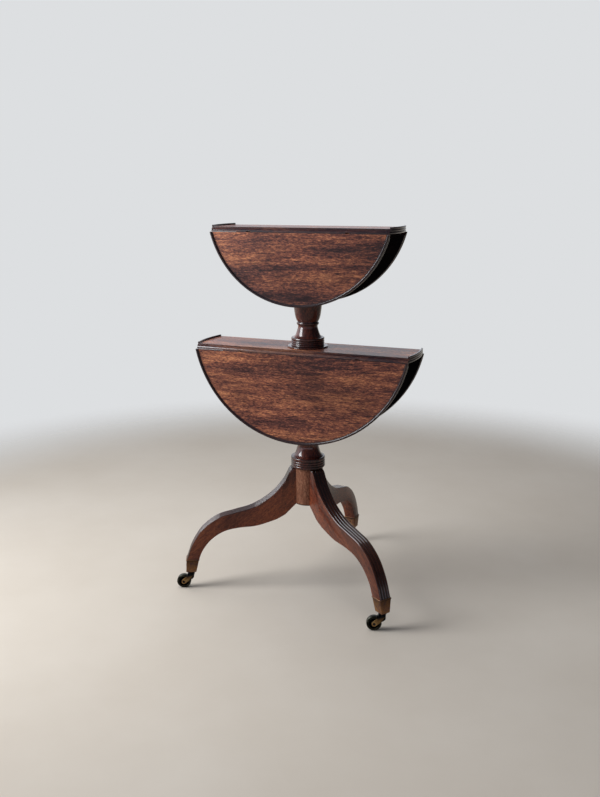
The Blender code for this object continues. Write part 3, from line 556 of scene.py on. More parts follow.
def metal(name, bright, dull, stain_and_shade, roughness, patina=0.5, bump=0.25, skin=1.0):
    """Old metal: bright where it is rubbed, dull under its skin of patina elsewhere, speckled with stains,
    and darkened by tone, which paints shade under beads, in gaps and in recesses.
    """
    m = Surface(name)
    place = m.add("TexCoord").outputs["Object"]
    broad = m.noise(place, PATINA_SCALE, 4.0, 0.65)
    fine = m.noise(place, SPECK_SCALE, 4.0, 0.6)
    worn = m.math("ADD", m.math("MULTIPLY", broad, 0.7), m.math("MULTIPLY", fine, 0.3))
    worn = m.remap(worn, patina - 0.12, patina + 0.14)
    colour = m.mix(worn, srgb(*dull), srgb(*bright))
    colour = m.mix(m.remap(fine, 0.60, 0.72, 0.0, 0.7), colour, srgb(*stain_and_shade))
    # Tone mixes in the dark colour: painted shade under beads, in gaps and in recesses, and a horn's dark
    # neck
    colour = m.mix(m.attribute("tone", "Fac"), colour, srgb(*stain_and_shade))
    m.feed(m.shader, {
        "Base Color": colour, "Metallic": m.remap(worn, 0.0, 1.0, skin, 1.0),
        "Roughness": m.remap(fine, 0.25, 0.75, roughness - 0.08, roughness + 0.14),
        "Normal": m.bump(m.math("ADD", broad, fine), bump, 0.0002),
    })
    return m.material


# Colours are 8-bit screen colours: a wood's from dark to light and its dark colour for grime and painted
# shade, a metal's when bright, when dull, and its dark colour for stains and painted shade. A coat is its
# weight on plain wood and on toned edges, and its roughness
MATERIALS = {
    # The board's dark colour is purple, a painted reflection of the sky in the coat of its edges and ovolos
    "board": wood(
        "polished_board", ((42, 22, 27), (94, 52, 47), (152, 89, 67), (214, 140, 96)), (28, 12, 24),
        coat=(0.26, 0.9, 0.10), sheen=0.45, contrast=1.28),
    # The underside wood is very dark: unpolished wood, and partly painted shade under the boards and bearers
    "under": wood(
        "board_underside", ((24, 18, 22), (36, 27, 29), (48, 36, 35), (64, 48, 44)), (14, 11, 14),
        coat=(0.0, 0.0, 0.5), sheen=0.12, roughness=0.7),
    "turned": wood(
        "turned_mahogany", ((44, 19, 21), (80, 36, 32), (116, 57, 44), (156, 86, 62)), (8, 4, 7),
        coat=(0.9, 1.0, 0.06), sheen=0.3, wander=0.012),
    "block": wood(
        "block_mahogany", ((78, 42, 30), (130, 82, 62), (156, 106, 82), (176, 132, 106)), (24, 11, 10),
        coat=(0.1, 0.4, 0.25), sheen=0.2, wander=0.010),
    "leg": wood(
        "leg_mahogany", ((64, 28, 22), (112, 53, 36), (144, 74, 46), (180, 100, 60)), (8, 4, 6),
        coat=(0.4, 1.0, 0.08), sheen=0.3, contrast=0.9, wander=0.016),
    "brass": metal(
        "old_cap_brass", (240, 178, 116), (146, 104, 96), (26, 20, 22), 0.42, 0.50, bump=0.4, skin=0.5),
    "cheek": metal(
        "rubbed_brass", (255, 214, 146), (160, 96, 44), (24, 24, 30), 0.32, 0.47, bump=0.6, skin=0.45),
    "steel": metal("dark_screw_steel", (90, 82, 78), (46, 42, 42), (18, 15, 15), 0.42),
    "iron": metal("black_strap_iron", (52, 50, 50), (30, 29, 30), (20, 16, 14), 0.55),
    "wheel": metal("bronze_wheel", (130, 130, 114), (60, 60, 54), (12, 12, 14), 0.34, 0.58),
}


# Pieces

def mark(mesh, grain, offset, tone=None):
    """Store the wood's own coordinates, x along the grain, and the tone of each point."""
    flow = mesh.attributes.new("grain", "FLOAT_VECTOR", "POINT")
    coords = [grain @ vert.co + Vector(offset) for vert in mesh.vertices]
    flow.data.foreach_set("vector", [c for point in coords for c in point])
    if tone:
        layer = mesh.attributes.get("tone") or mesh.attributes.new("tone", "FLOAT", "POINT")
        layer.data.foreach_set("value", [tone(vert.co) for vert in mesh.vertices])
    return mesh


def dress(name, mesh, materials, nodes, place=ROOT, body="stand", bevel=0.0, weighted=False):
    """A visible piece in its place at rest, riding on a body and standing for CAD nodes."""
    mesh.name = name
    for key in materials:
        mesh.materials.append(MATERIALS[key])
    mesh.transform(place)
    mesh.shade_smooth()
    mesh.set_sharp_from_angle(angle=SMOOTH_ANGLE)
    piece = add_object(name, mesh)
    if bevel:
        modifier = piece.modifiers.new("Edges", "BEVEL")
        modifier.width = bevel
        modifier.segments = 2
        modifier.limit_method = "ANGLE"
        modifier.angle_limit = BEVEL_ANGLE
    if weighted:
        modifier = piece.modifiers.new("Normals", "WEIGHTED_NORMAL")
        modifier.keep_sharp = True
        modifier.weight = 100
    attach(piece, body)
    if nodes:
        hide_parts(*nodes)


# Boards

def edge_profile(radius):
    """Underside, three reeds, and the lip with a rounded top and a small cove down to the field."""
    beads = reeds(radius, 0, EDGE_HEIGHT / EDGE_REEDS, EDGE_REEDS, EDGE_REED_DEPTH)
    points = [point[:2] for point in beads]
    lip = radius - LIP_WIDTH
    points += arc(ARRIS, pi / 2, pi, ARRIS_STEPS, (lip + ARRIS, EDGE_HEIGHT - ARRIS))
    foot = lip - LIP_SLOPE
    points += arc(LIP_SLOPE, 0, -pi / 2, CURVE_STEPS, (foot, BOARD_THICKNESS + LIP_SLOPE))
    return points + [(foot - FIELD_INSET, BOARD_THICKNESS)]


def quarter(radius, start):
    first = acos(start / radius)
    return arc(radius, first, 0, ARC_STEPS)


def bed_outline():
    top = EDGE_HEIGHT + OVERRUN
    corner = arc(ARRIS, pi / 2, 0, ARRIS_STEPS, (BED_HALF - ARRIS, BOARD_THICKNESS - ARRIS))
    half = [(x + BED_HALF, z) for x, z in quarter(OVOLO_RADIUS, 0)]
    right = [(BED_HALF - ARRIS, top)] + corner + half + [(BED_HALF + OVOLO_RADIUS, -2 * OVERRUN)]
    return right + [(-y, z) for y, z in reversed(right)]


def leaf_outline(side, radius):
    top = EDGE_HEIGHT + OVERRUN
    start = RULE_CLEARANCE + ARRIS
    corner = arc(ARRIS, pi / 2, pi, ARRIS_STEPS, (start, BOARD_THICKNESS - ARRIS))
    cove = quarter(COVE_RADIUS, RULE_CLEARANCE)
    points = [(start, top)] + corner + cove
    points += [(COVE_RADIUS, -2 * OVERRUN), (radius, -2 * OVERRUN), (radius, top)]
    return [(side * y, z) for y, z in points]


def hinge_places(radius, side):
    half_line = sqrt(radius ** 2 - BED_HALF ** 2)
    return [shift(end * half_line * HINGE_PLACE_SHARE, side * BED_HALF, 0) @ spin(side * pi / 2)
            for end in (-1, 1)]


def leaf_recess():
    half = HINGE_WIDTH / 2 + GAP
    return box((-OVERRUN, -half, -OVERRUN), (LEAF_FLAP_LENGTH + GAP, half, FLAP_THICKNESS + GAP))


def bed_recess():
    depth = FLAP_THICKNESS + GAP
    room = KNUCKLE_RADIUS + GAP
    far = BED_FLAP_LENGTH + GAP
    outline = [(-far, -OVERRUN), (-far, depth)]
    outline += [(-x, z) for x, z in arc(room, asin(depth / room), pi, ARC_STEPS)]
    outline.append((room, -OVERRUN))
    half = HINGE_WIDTH / 2 + GAP
    neck = HINGE_WIDTH / 6 + GAP / 2
    recess = prism(outline, -half, half, "Y")
    return combined(recess, box((0, -neck, -OVERRUN), (OVOLO_RADIUS + OVERRUN, neck, depth)), "UNION")


def board_tone(radius, middle):
    """Tone of a board round its middle: a dark lip, painted shade in the grooves of its reeded edge, and a
    bed's edges dark along the joints.
    """
    def tone(point):
        out = hypot(point.x - middle[0], point.y - middle[1])
        if middle == (0, 0) and abs(point.y) > BED_HALF - ARRIS / 2:
            return JOINT_TONE
        if out < radius - LIP_WIDTH - LIP_SLOPE - HAIR:
            return 0.0
        groove = max(0.0, min(1.0, (radius - out) / EDGE_REED_DEPTH))
        return LIP_TONE + (1 - LIP_TONE) * groove
    return tone


def bed_mesh(radius, through_hole):
    reach = radius + OVERRUN
    block = prism(bed_outline(), -reach, reach, "X")
    for side in (-1, 1):
        for place in hinge_places(radius, side):
            block = cut(block, moved(bed_recess(), place))
    if through_hole:
        hole = rod(TENON_RADIUS + GAP, -3 * OVERRUN, EDGE_HEIGHT + 2 * OVERRUN, SMALL_SIDES)
        block = cut(block, hole)
    return combined(turned(edge_profile(radius), BOARD_SIDES), block, "INTERSECT")


def leaf_mesh(radius, side):
    reach = radius + OVERRUN
    to_hinge = shift(0, -side * BED_HALF, 0)
    block = prism(leaf_outline(side, radius), -reach, reach, "X")
    for place in hinge_places(radius, side):
        block = cut(block, moved(leaf_recess(), to_hinge @ place))
    return combined(moved(turned(edge_profile(radius), BOARD_SIDES), to_hinge), block, "INTERSECT")


# Screws and hinges, in the frame of one hinge: +X away from the bed, +Y along the pin, +Z up

def screw_mesh(radius, turn):
    """A slotted countersunk head with a low dome at zero, and its shank along +Z."""
    profile = [(radius * share, -SCREW_DOME * (1 - share * share)) for share in (0.25, 0.6, 0.85, 1.0)]
    profile += [(radius * out, radius * down) for out, down in SCREW_SHANK_SHARES]
    half = radius * SLOT_SHARE
    slot = box((-2 * radius, -half, -SINK_REACH), (2 * radius, half, SLOT_DEPTH))
    return moved(cut(turned(profile, SCREW_SIDES), slot), spin(turn))


def sink(radius):
    """Cutter for the hole that a screw's head lies in."""
    room = radius + HAIR
    neck = radius * 0.5
    profile = [(room, -SINK_REACH), (room, 0), (neck, radius * 0.6), (neck, SINK_DEPTH)]
    return turned(profile, SCREW_SIDES)


def flap_mesh(length, direction, middle, screws):
    """A flap of a hinge with the middle one of its three knuckles, or with the outer two."""
    roll_start = asin(FLAP_THICKNESS / KNUCKLE_RADIUS)
    roll_end = 2 * pi - KNUCKLE_SEAM
    outline = [(length, 0), (length, FLAP_THICKNESS)]
    outline += arc(KNUCKLE_RADIUS, roll_start, roll_end, KNUCKLE_STEPS)
    outline += arc(HINGE_PIN_RADIUS + GAP, roll_end, 0, KNUCKLE_STEPS)
    half = HINGE_WIDTH / 2
    flap = prism([(direction * x, z) for x, z in outline], -half, half, "Y")
    third = HINGE_WIDTH / 6
    room = KNUCKLE_RADIUS + GAP
    reach = room
    notches = [(-third - GAP / 2, third + GAP / 2)]
    if middle:
        reach = COVE_RADIUS
        notches = [(-half - OVERRUN, -third + GAP / 2), (third - GAP / 2, half + OVERRUN)]
    flap = cut(flap, *[box((-room, low, -room), (reach, high, room)) for low, high in notches])
    return cut(flap, *[moved(sink(FLAP_SCREW_RADIUS), shift(x, y, 0)) for x, y in screws])


def screw_set(places):
    """Screws for a flap, each with its slot turned another way."""
    return [moved(screw_mesh(FLAP_SCREW_RADIUS, 0.7 + 2.3 * k), shift(x, y, 0))
            for k, (x, y) in enumerate(places)]


def pin_mesh():
    half = HINGE_WIDTH / 2
    tip = HINGE_PIN_RADIUS * PIN_END_SHARE
    profile = [(tip, -half), (HINGE_PIN_RADIUS, -half + PIN_CHAMFER),
               (HINGE_PIN_RADIUS, half - PIN_CHAMFER), (tip, half)]
    return across(profile, PIN_SIDES)


def hinge_nodes(tier, labels, part):
    return [f"{tier}_{label}_{end}_hinge_{part}" for label in labels for end in ("left", "right")]


def build_board(name, board, radius, middle, place, body="stand"):
    """A bed or a leaf, plain and dark underneath, partly as painted shade, with its grain and with painted
    shade in its grooves and a dark lip.
    """
    for face in board.polygons:
        if face.normal.z < DOWNWARD and abs(face.center.z) < GAP:
            face.material_index = 1
    mark(board, LEVEL_GRAIN, GRAIN_STARTS[name], board_tone(radius, middle))
    dress(name + "_board", board, ("board", "under"), [name], place, body, weighted=True)


def build_leaf(name, radius, label, side):
    """A leaf's board with the flaps and screws of its hinges, in the place where it hangs at rest."""
    body = f"{name}_{label}_drop"
    leaf = f"{name}_{label}_leaf"
    pin_line = shift(0, side * BED_HALF, UNDERSIDES[name])
    at_leaf = ROOT @ pin_line @ spin(-side * pi / 2, "X")
    to_leaf = shift(0, -side * BED_HALF, 0)
    middle = (0, -side * BED_HALF)
    build_board(leaf, leaf_mesh(radius, side), radius, middle, at_leaf, body)
    places = [to_leaf @ place for place in hinge_places(radius, side)]
    flap = flap_mesh(LEAF_FLAP_LENGTH, 1, True, LEAF_SCREWS)
    dress(leaf + "_flaps", repeated([flap], places), ("brass",), hinge_nodes(name, [label], "leaf_flap"),
          at_leaf, body)
    dress(leaf + "_screws", repeated(screw_set(LEAF_SCREWS), places), ("steel",), [], at_leaf, body)


def build_bed_hinges(name, radius, at_bed):
    """The parts of a tier's four hinges that stay with the bed."""
    places = [place for label, side in LEAVES for place in hinge_places(radius, side)]
    labels = [label for label, side in LEAVES]
    flap = flap_mesh(BED_FLAP_LENGTH, -1, False, BED_SCREWS)
    dress(name + "_bed_flaps", repeated([flap], places), ("brass",),
          hinge_nodes(name, labels, "bed_flap"), at_bed)
    dress(name + "_hinge_pins", repeated([pin_mesh()], places), ("steel",),
          hinge_nodes(name, labels, "pin"), at_bed)
    dress(name + "_bed_screws", repeated(screw_set(BED_SCREWS), places), ("steel",), [], at_bed)


def build_bearer(name, radius, at_bed):
    """The bar that turns under a bed to hold a leaf up, and the pad that it turns on."""
    reach = radius * BEARER_REACH_SHARE
    taper = reach * BEARER_TAPER_SHARE
    low = -GAP - BEARER_THICKNESS
    tip = -GAP - BEARER_TIP_THICKNESS
    outline = [(-reach, -GAP), (-reach, tip), (-taper, low), (taper, low), (reach, tip), (reach, -GAP)]
    bar = prism(outline, -BEARER_WIDTH / 2, BEARER_WIDTH / 2, "Y")
    ring = rod(BEARER_RING_RADIUS, low, -GAP, RING_SIDES)
    hole = rod(BOSS_RADIUS + GAP, low - OVERRUN, OVERRUN, RING_SIDES)
    bearer = cut(combined(bar, ring, "UNION"), hole)
    mark(bearer, LEVEL_GRAIN, GRAIN_STARTS[name + "_bearer"])
    dress(name + "_bearer_bar", bearer, ("under",), [name + "_bearer"], at_bed, name + "_support",
          bevel=0.0008)
    inner = SPIGOT_RADIUS + GAP
    profile = [(inner, -BOSS_THICKNESS), (BOSS_RADIUS - BOSS_EDGE, -BOSS_THICKNESS),
               (BOSS_RADIUS, -BOSS_THICKNESS + BOSS_EDGE), (BOSS_RADIUS, -GAP), (inner, -GAP)]
    pad = mark(turned(profile, RING_SIDES, closed=True), LEVEL_GRAIN, GRAIN_STARTS[name + "_pad"])
    dress(name + "_bearer_pad", pad, ("under",), [name + "_bearer_boss"], at_bed)


def build_tier(name):
    radius = TIER_RADII[name]
    at_bed = ROOT @ shift(0, 0, UNDERSIDES[name])
    build_board(name + "_bed", bed_mesh(radius, name == "lower"), radius, (0, 0), at_bed)
    for label, side in LEAVES:
        build_leaf(name, radius, label, side)
    build_bed_hinges(name, radius, at_bed)
    build_bearer(name, radius, at_bed)


# Columns

def rounded_edge(radius, low, height, steps):
    """Half-round edge of a disc."""
    return arc(height / 2, -pi / 2, pi / 2, steps, (radius - height / 2, low + height / 2))


def shaft(low, high, vase):
    """Profile of a column from the torus at its foot to the top of its capital."""
    length = high - CAPITAL_EDGE - low

    def curve(shares):
        return spline([(r * vase, low + z * length) for z, r in shares], CURVE_STEPS)

    def bead(shares, quirk):
        radius, start, height, depth = shares
        return half_round(radius * vase, low + start * length + quirk, height * length - 2 * quirk,
                          depth * vase)

    points = curve(CAVETTO_SHARES) + bead(LOWER_BEAD, BEAD_QUIRK)
    points += curve(VASE_SHARES) + bead(UPPER_BEAD, 0) + curve(NECK_SHARES)
    return points + rounded_edge(CAPITAL_RADIUS, high - CAPITAL_EDGE, CAPITAL_EDGE, BEAD_STEPS)


def capital_height(name):
    return UNDERSIDES[name] - BOSS_THICKNESS - GAP


def reeds_to_spigot(name, radius, low, reed_height, torus_height, vase):
    """Profile of a column from the foot of its reeds to the top of its spigot."""
    reeds_end = low + COLUMN_REEDS * reed_height
    top = capital_height(name)
    profile = reeds(radius, low, reed_height, COLUMN_REEDS, COLUMN_REED_DEPTH)
    profile += half_round(radius, reeds_end, torus_height, COLUMN_REED_DEPTH, ARC_STEPS)[1:]
    profile += shaft(reeds_end + torus_height, top, vase)
    return profile + [(SPIGOT_RADIUS, top), (SPIGOT_RADIUS, UNDERSIDES[name] - GAP)]


def upper_profile():
    base = FIELD_HEIGHTS["lower"] + GAP
    profile = [(TENON_RADIUS, capital_height("lower") - TENON_BITE), (TENON_RADIUS, base)]
    edge = rounded_edge(FLANGE_RADIUS, base, FLANGE_HEIGHT, REED_STEPS)
    profile += [(r, z, FLANGE_TONE) for r, z in edge]
    return profile + reeds_to_spigot("upper", FOOT_REED_RADIUS, base + FLANGE_HEIGHT, FOOT_REED_HEIGHT,
                                     FOOT_TORUS_HEIGHT, UPPER_VASE_RADIUS)


def lower_profile():
    # The block is toned dark along its foot, a painted shadow line, and just under the collar, painted shade
    profile = [(BLOCK_RADIUS - ARRIS, BLOCK_BOTTOM, 1.0),
               (BLOCK_RADIUS, BLOCK_BOTTOM + ARRIS, 0.9),
               (BLOCK_RADIUS, BLOCK_BOTTOM + 6 * ARRIS),
               (BLOCK_RADIUS, COLLAR_HEIGHT - COLLAR_SHADE_HEIGHT), (BLOCK_RADIUS, COLLAR_HEIGHT, 0.9)]
    return profile + reeds_to_spigot("lower", COLLAR_REED_RADIUS, COLLAR_HEIGHT, COLLAR_REED_HEIGHT,
                                     COLLAR_TORUS_HEIGHT, LOWER_VASE_RADIUS)


def lower_column_mesh():
    """The lower column with its socket for the tenon, and with the legs' seats in its block."""
    floor = capital_height("lower") - TENON_BITE - GAP
    socket = rod(TENON_RADIUS + GAP, floor, UNDERSIDES["lower"] - GAP + OVERRUN, SMALL_SIDES)
    column = cut(turned(lower_profile(), COLUMN_SIDES), socket)
    bottom = BLOCK_BOTTOM - OVERRUN
    half = LEG_THICKNESS / 2 + GAP
    for angle in LEG_ANGLES:
        seat = box((SEAT_RADIUS, -half, bottom), (BLOCK_RADIUS + OVERRUN, half, COLLAR_HEIGHT))
        tongue = prism(dovetail(GAP), bottom, COLLAR_HEIGHT - DOVETAIL_SHOULDER + GAP)
        column = cut(column, moved(seat, spin(angle)), moved(tongue, spin(angle)))
    for face in column.polygons:
        if max(column.vertices[i].co.z for i in face.vertices) < COLLAR_HEIGHT + GAP:
            face.material_index = 1
    return column


def build_columns():
    column = mark(turned(upper_profile(), COLUMN_SIDES), UPRIGHT_GRAIN, GRAIN_STARTS["upper_column"])
    dress("upper_column_turning", column, ("turned",), ["upper_column"])
    column = mark(lower_column_mesh(), UPRIGHT_GRAIN, GRAIN_STARTS["lower_column"])
    dress("lower_column_turning", column, ("turned", "block"), ["lower_column"])


# Legs, in the plane of each leg: +X away from the column

def dovetail(clearance):
    neck = DOVETAIL_NECK / 2 + clearance
    wide = DOVETAIL_WIDTH / 2 + clearance
    deep = SEAT_RADIUS - DOVETAIL_DEPTH - clearance
    out = SEAT_RADIUS + OVERRUN
    half = [(deep, wide), (SEAT_RADIUS, neck), (out, neck)]
    return half + [(x, -y) for x, y in reversed(half)]


def leg_curves():
    foot_top = CAP_TOP + GAP
    reach = FOOT_RADIUS - CAP_LEAN + CAP_TOP_DEPTH / 2 - CAP_BEAD - LEG_START
    rise = COLLAR_HEIGHT - GAP - foot_top

    def real(shares):
        return [(LEG_START + x * reach, foot_top + z * rise) for x, z in shares]

    under = real(LEG_UNDERSIDE_SHARES)
    start = Vector((LEG_START, BLOCK_BOTTOM))
    slope = [start.lerp(Vector(under[0]), k / CURVE_STEPS) for k in range(CURVE_STEPS)]
    return spline(real(LEG_TOP_SHARES), CURVE_STEPS), slope + spline(under, CURVE_STEPS)


def leg_section(top, under, thickness, depth):
    """A ring across the leg, with rounded lower edges and half-round reeds, and the tone of each point: the
    reeded top painted nearly black with blacker grooves, as painted shade, and the sides a little darker
    towards the top.
    """
    up = (top - under).normalized()
    half = thickness / 2
    ring, tones = [], []
    for centre, first in ((half - LEG_CORNER, 0.0), (LEG_CORNER - half, -pi / 2)):
        for k in range(LEG_CORNER_STEPS + 1):
            a = first - pi / 2 * k / LEG_CORNER_STEPS
            point = under + up * (LEG_CORNER + LEG_CORNER * sin(a))
            ring.append((point.x, centre + LEG_CORNER * cos(a), point.y))
            tones.append(LEG_CORNER_TONE)
    width = thickness / LEG_REEDS
    for k in range(LEG_REEDS):
        for i in range(REED_STEPS):
            a = pi * i / REED_STEPS
            point = top - up * (depth * (1 - sin(a)))
            ring.append((point.x, -half + k * width + width * (1 - cos(a)) / 2, point.y))
            reed_tone = LEG_CREST_TONE + (1 - LEG_CREST_TONE) * sqrt(1 - sin(a))
            tones.append(reed_tone if i or k else LEG_SIDE_TONE)
    point = top - up * depth
    ring.append((point.x, half, point.y))
    return ring, tones + [LEG_SIDE_TONE]


def cap_half_sizes(height, inset):
    """Half the depth and half the width of a cap at a height, and how far out its middle is."""
    share = (height - CAP_BOTTOM) / CAP_HEIGHT
    depth = CAP_BOTTOM_DEPTH + (CAP_TOP_DEPTH - CAP_BOTTOM_DEPTH) * share
    width = CAP_BOTTOM_WIDTH + (CAP_TOP_WIDTH - CAP_BOTTOM_WIDTH) * share
    return depth / 2 - inset, width / 2 - inset, FOOT_RADIUS - CAP_LEAN * share


def leg_mesh():
    """A reeded leg with its tongue, down to the plain end inside its cap."""
    top, under = leg_curves()
    count = len(top)
    sections = []
    for i in range(count):
        thickness = LEG_THICKNESS + (LEG_FOOT_THICKNESS - LEG_THICKNESS) * i / (count - 1)
        sections.append(leg_section(top[i], under[i], thickness, LEG_REED_DEPTH))
    for height in (CAP_TOP + GAP, CAP_CAVITY_FLOOR + LEG_END_ROOM):
        depth, width, centre = cap_half_sizes(height, CAP_WALL + CAP_CORNER / 2 + GAP)
        outer, inner = Vector((centre + depth, height)), Vector((centre - depth, height))
        sections.append(leg_section(outer, inner, 2 * width, 0.0))
    rings, tones = zip(*sections)
    leg = skin_mesh(rings, tones)
    tongue = prism(dovetail(0.0), BLOCK_BOTTOM, COLLAR_HEIGHT - DOVETAIL_SHOULDER)
    return combined(leg, tongue, "UNION")


# Caps and castors

def cap_ring(height, inset):
    depth, width, centre = cap_half_sizes(height, inset)
    along, aside = depth - CAP_CORNER, width - CAP_CORNER
    points = []
    for k, (sx, sy) in enumerate(((1, 1), (-1, 1), (-1, -1), (1, -1))):
        points += arc(CAP_CORNER, pi / 2 * k, pi / 2 * (k + 1), CAP_CORNER_STEPS,
                      (sx * along, sy * aside))
    return [(centre + x, y, height) for x, y in points]


def cap_circle(radius, height):
    """A circle whose points match those of a cap's ring."""
    points = []
    for k in range(4):
        first, last = pi / 2 * k + CAP_CIRCLE_INSET, pi / 2 * (k + 1) - CAP_CIRCLE_INSET
        points += arc(radius, first, last, CAP_CORNER_STEPS)
    return [(FOOT_RADIUS + x, y, height) for x, y in points]


def cap_mesh():
    """A cap, skinned from the boss under it over its bead and rim to the floor of its cavity."""
    bead_low = CAP_TOP - CAP_BEAD_HEIGHT
    rings = [cap_circle(CAP_BOSS_RADIUS - SOFT_EDGE, SWIVEL_HEIGHT),
             cap_circle(CAP_BOSS_RADIUS, SWIVEL_HEIGHT + SOFT_EDGE),
             cap_circle(CAP_BOSS_RADIUS, CAP_BOTTOM - SOFT_EDGE),
             cap_ring(CAP_BOTTOM, SOFT_EDGE), cap_ring(CAP_BOTTOM + SOFT_EDGE, 0),
             cap_ring(bead_low, 0)]
    # Tones paint shade on the boss beneath the cap, under its bead, on its bottom edge and inside its rim
    tones = [0.8, 0.8, 0.9, 0.6, 0.2, 0.7]
    for k in range(1, CAP_BEAD_STEPS):
        a = pi * k / CAP_BEAD_STEPS
        rings.append(cap_ring(bead_low + CAP_BEAD_HEIGHT * (1 - cos(a)) / 2, -CAP_BEAD * sin(a)))
        tones.append(0.25 if k > 4 else 0.9)
    rings += [cap_ring(CAP_TOP, 0), cap_ring(CAP_TOP, CAP_WALL),
              cap_ring(CAP_CAVITY_FLOOR, CAP_WALL)]
    tones += [0.4, 0.9, 1.0]
    cap = skin_mesh(rings, [[tone] * len(rings[0]) for tone in tones])
    hole = rod(PIVOT_RADIUS + GAP, SWIVEL_HEIGHT - OVERRUN, CAP_CAVITY_FLOOR + OVERRUN, BORE_SIDES)
    cap = cut(cap, moved(hole, shift(FOOT_RADIUS, 0, 0)))
    return cut(cap, moved(sink(CAP_SCREW_RADIUS), cap_screw_place()))


def cap_inner_face(height):
    """How far a cap's inner face is from the column's axis."""
    depth, _, centre = cap_half_sizes(height, 0)
    return centre - depth


def cap_screw_place():
    height = CAP_BOTTOM + CAP_HEIGHT * CAP_SCREW_SHARE
    out = cap_inner_face(height)
    lean = atan2(out - cap_inner_face(CAP_BOTTOM), height - CAP_BOTTOM)
    return shift(out, 0, height) @ spin(pi / 2 + lean, "Y")


def horn_outline():
    """Side view of a horn: its neck's front, the eye round the axle, and its hollow back."""
    eye = arc(EYE_RADIUS, EYE_START, EYE_END, EYE_STEPS, (CASTOR_TRAIL, WHEEL_RADIUS))
    shoulder = CROWN_TOP - CROWN_THICKNESS / 2
    front, back = [(CASTOR_TRAIL * share, shoulder) for share in NECK_TOP_SHARES]

    def smooth(first, shares, last, steps):
        between = [(CASTOR_TRAIL * x, CROWN_TOP * z) for x, z in shares]
        return spline([first] + between + [last], steps)

    neck = smooth(front, NECK_FRONT_SHARES, eye[0], 5)[:-1]
    return neck + eye + smooth(eye[-1], NECK_BACK_SHARES, back, 4)[1:]


def horn_mesh():
    slot = WHEEL_WIDTH / 2 + WHEEL_SIDE_PLAY
    half = slot + CHEEK_THICKNESS
    horn = prism(horn_outline(), -half, half, "Y")
    low = CROWN_TOP - CROWN_THICKNESS
    crown = [(CROWN_RADIUS - SOFT_EDGE, low), (CROWN_RADIUS, low + SOFT_EDGE),
             (CROWN_RADIUS, CROWN_TOP - SOFT_EDGE), (CROWN_RADIUS - SOFT_EDGE, CROWN_TOP)]
    horn = combined(horn, turned(crown, CROWN_SIDES), "UNION")
    room = WHEEL_RADIUS + WHEEL_CLEARANCE
    bore = AXLE_RADIUS + GAP
    to_axle = shift(CASTOR_TRAIL, 0, WHEEL_RADIUS)
    horn = cut(horn, moved(across([(room, -slot), (room, slot)], RING_SIDES), to_axle),
               moved(across([(bore, -half - OVERRUN), (bore, half + OVERRUN)], BORE_SIDES), to_axle))
    pivot_end = CROWN_TOP - PIVOT_BITE - GAP
    return cut(horn, rod(PIVOT_RADIUS + GAP, pivot_end, CROWN_TOP + OVERRUN, BORE_SIDES))


def arm_tone(point):
    """Bright round the axle, where the cheeks are rubbed, and dark from the neck up."""
    far = hypot(point.x - CASTOR_TRAIL, point.z - WHEEL_RADIUS)
    return max(0.0, min(1.0, (far - 2.0 * EYE_RADIUS) / (0.8 * EYE_RADIUS)))


def axle_mesh():
    half = WHEEL_WIDTH / 2 + WHEEL_SIDE_PLAY + CHEEK_THICKNESS + GAP
    rim = half + AXLE_HEAD_STEP
    # The underside of each head, against the cheek, gets painted shade
    head = [(AXLE_RADIUS, half, 0.8), (AXLE_HEAD_RADIUS, half, 0.8), (AXLE_HEAD_RADIUS, rim, 0.2)]
    for share in (0.9, 0.7, 0.4, 0.12):
        head.append((AXLE_HEAD_RADIUS * share, rim + AXLE_HEAD_DOME * (1 - share ** 2), 0.0))
    return across([(r, -z, tone) for r, z, tone in reversed(head)] + head, AXLE_SIDES)


def wheel_mesh():
    """A wheel with its hub, a sunk web, and a rim with a rounded tread."""
    half = WHEEL_WIDTH / 2
    web = half - WHEEL_RECESS
    tread = half - TREAD_STEP
    shoulder = WHEEL_RADIUS - WHEEL_ROUND
    # Tones paint shade into the sunk web and by the axle
    side = [(AXLE_RADIUS + GAP, half, 0.8), (WHEEL_HUB_RADIUS - HUB_EDGE, half, 0.3),
            (WHEEL_HUB_RADIUS, half - HUB_EDGE, 0.4), (WHEEL_HUB_RADIUS, web, 1.0),
            (WHEEL_RIM_RADIUS - HUB_EDGE, web, 1.0), (WHEEL_RIM_RADIUS, web + RIM_STEP, 0.7),
            (WHEEL_RIM_RADIUS + RIM_SLOPE, tread, 0.2), (shoulder, tread, 0.1)]
    for k in range(1, CURVE_STEPS + 1):
        a = pi / 2 * k / CURVE_STEPS
        side.append((shoulder + WHEEL_ROUND * sin(a), tread - WHEEL_ROUND * (1 - cos(a)), 0.0))
    return across(side + [(r, -z, tone) for r, z, tone in reversed(side)], WHEEL_SIDES, closed=True)


def build_castor(name, swivel):
    body = name + "_castor"
    horn = mark(horn_mesh(), LEVEL_GRAIN, (0, 0, 0), arm_tone)
    dress("castor_fork_" + name, horn, ("cheek",), ["castor_horn_" + name], swivel, body, bevel=0.0004)
    axle_line = swivel @ shift(CASTOR_TRAIL, 0, WHEEL_RADIUS)
    dress("castor_rivet_" + name, axle_mesh(), ("steel",), ["castor_axle_" + name], axle_line, body)
    dress("castor_roller_" + name, wheel_mesh(), ("wheel",), ["castor_wheel_" + name], axle_line,
          body + "_roller")


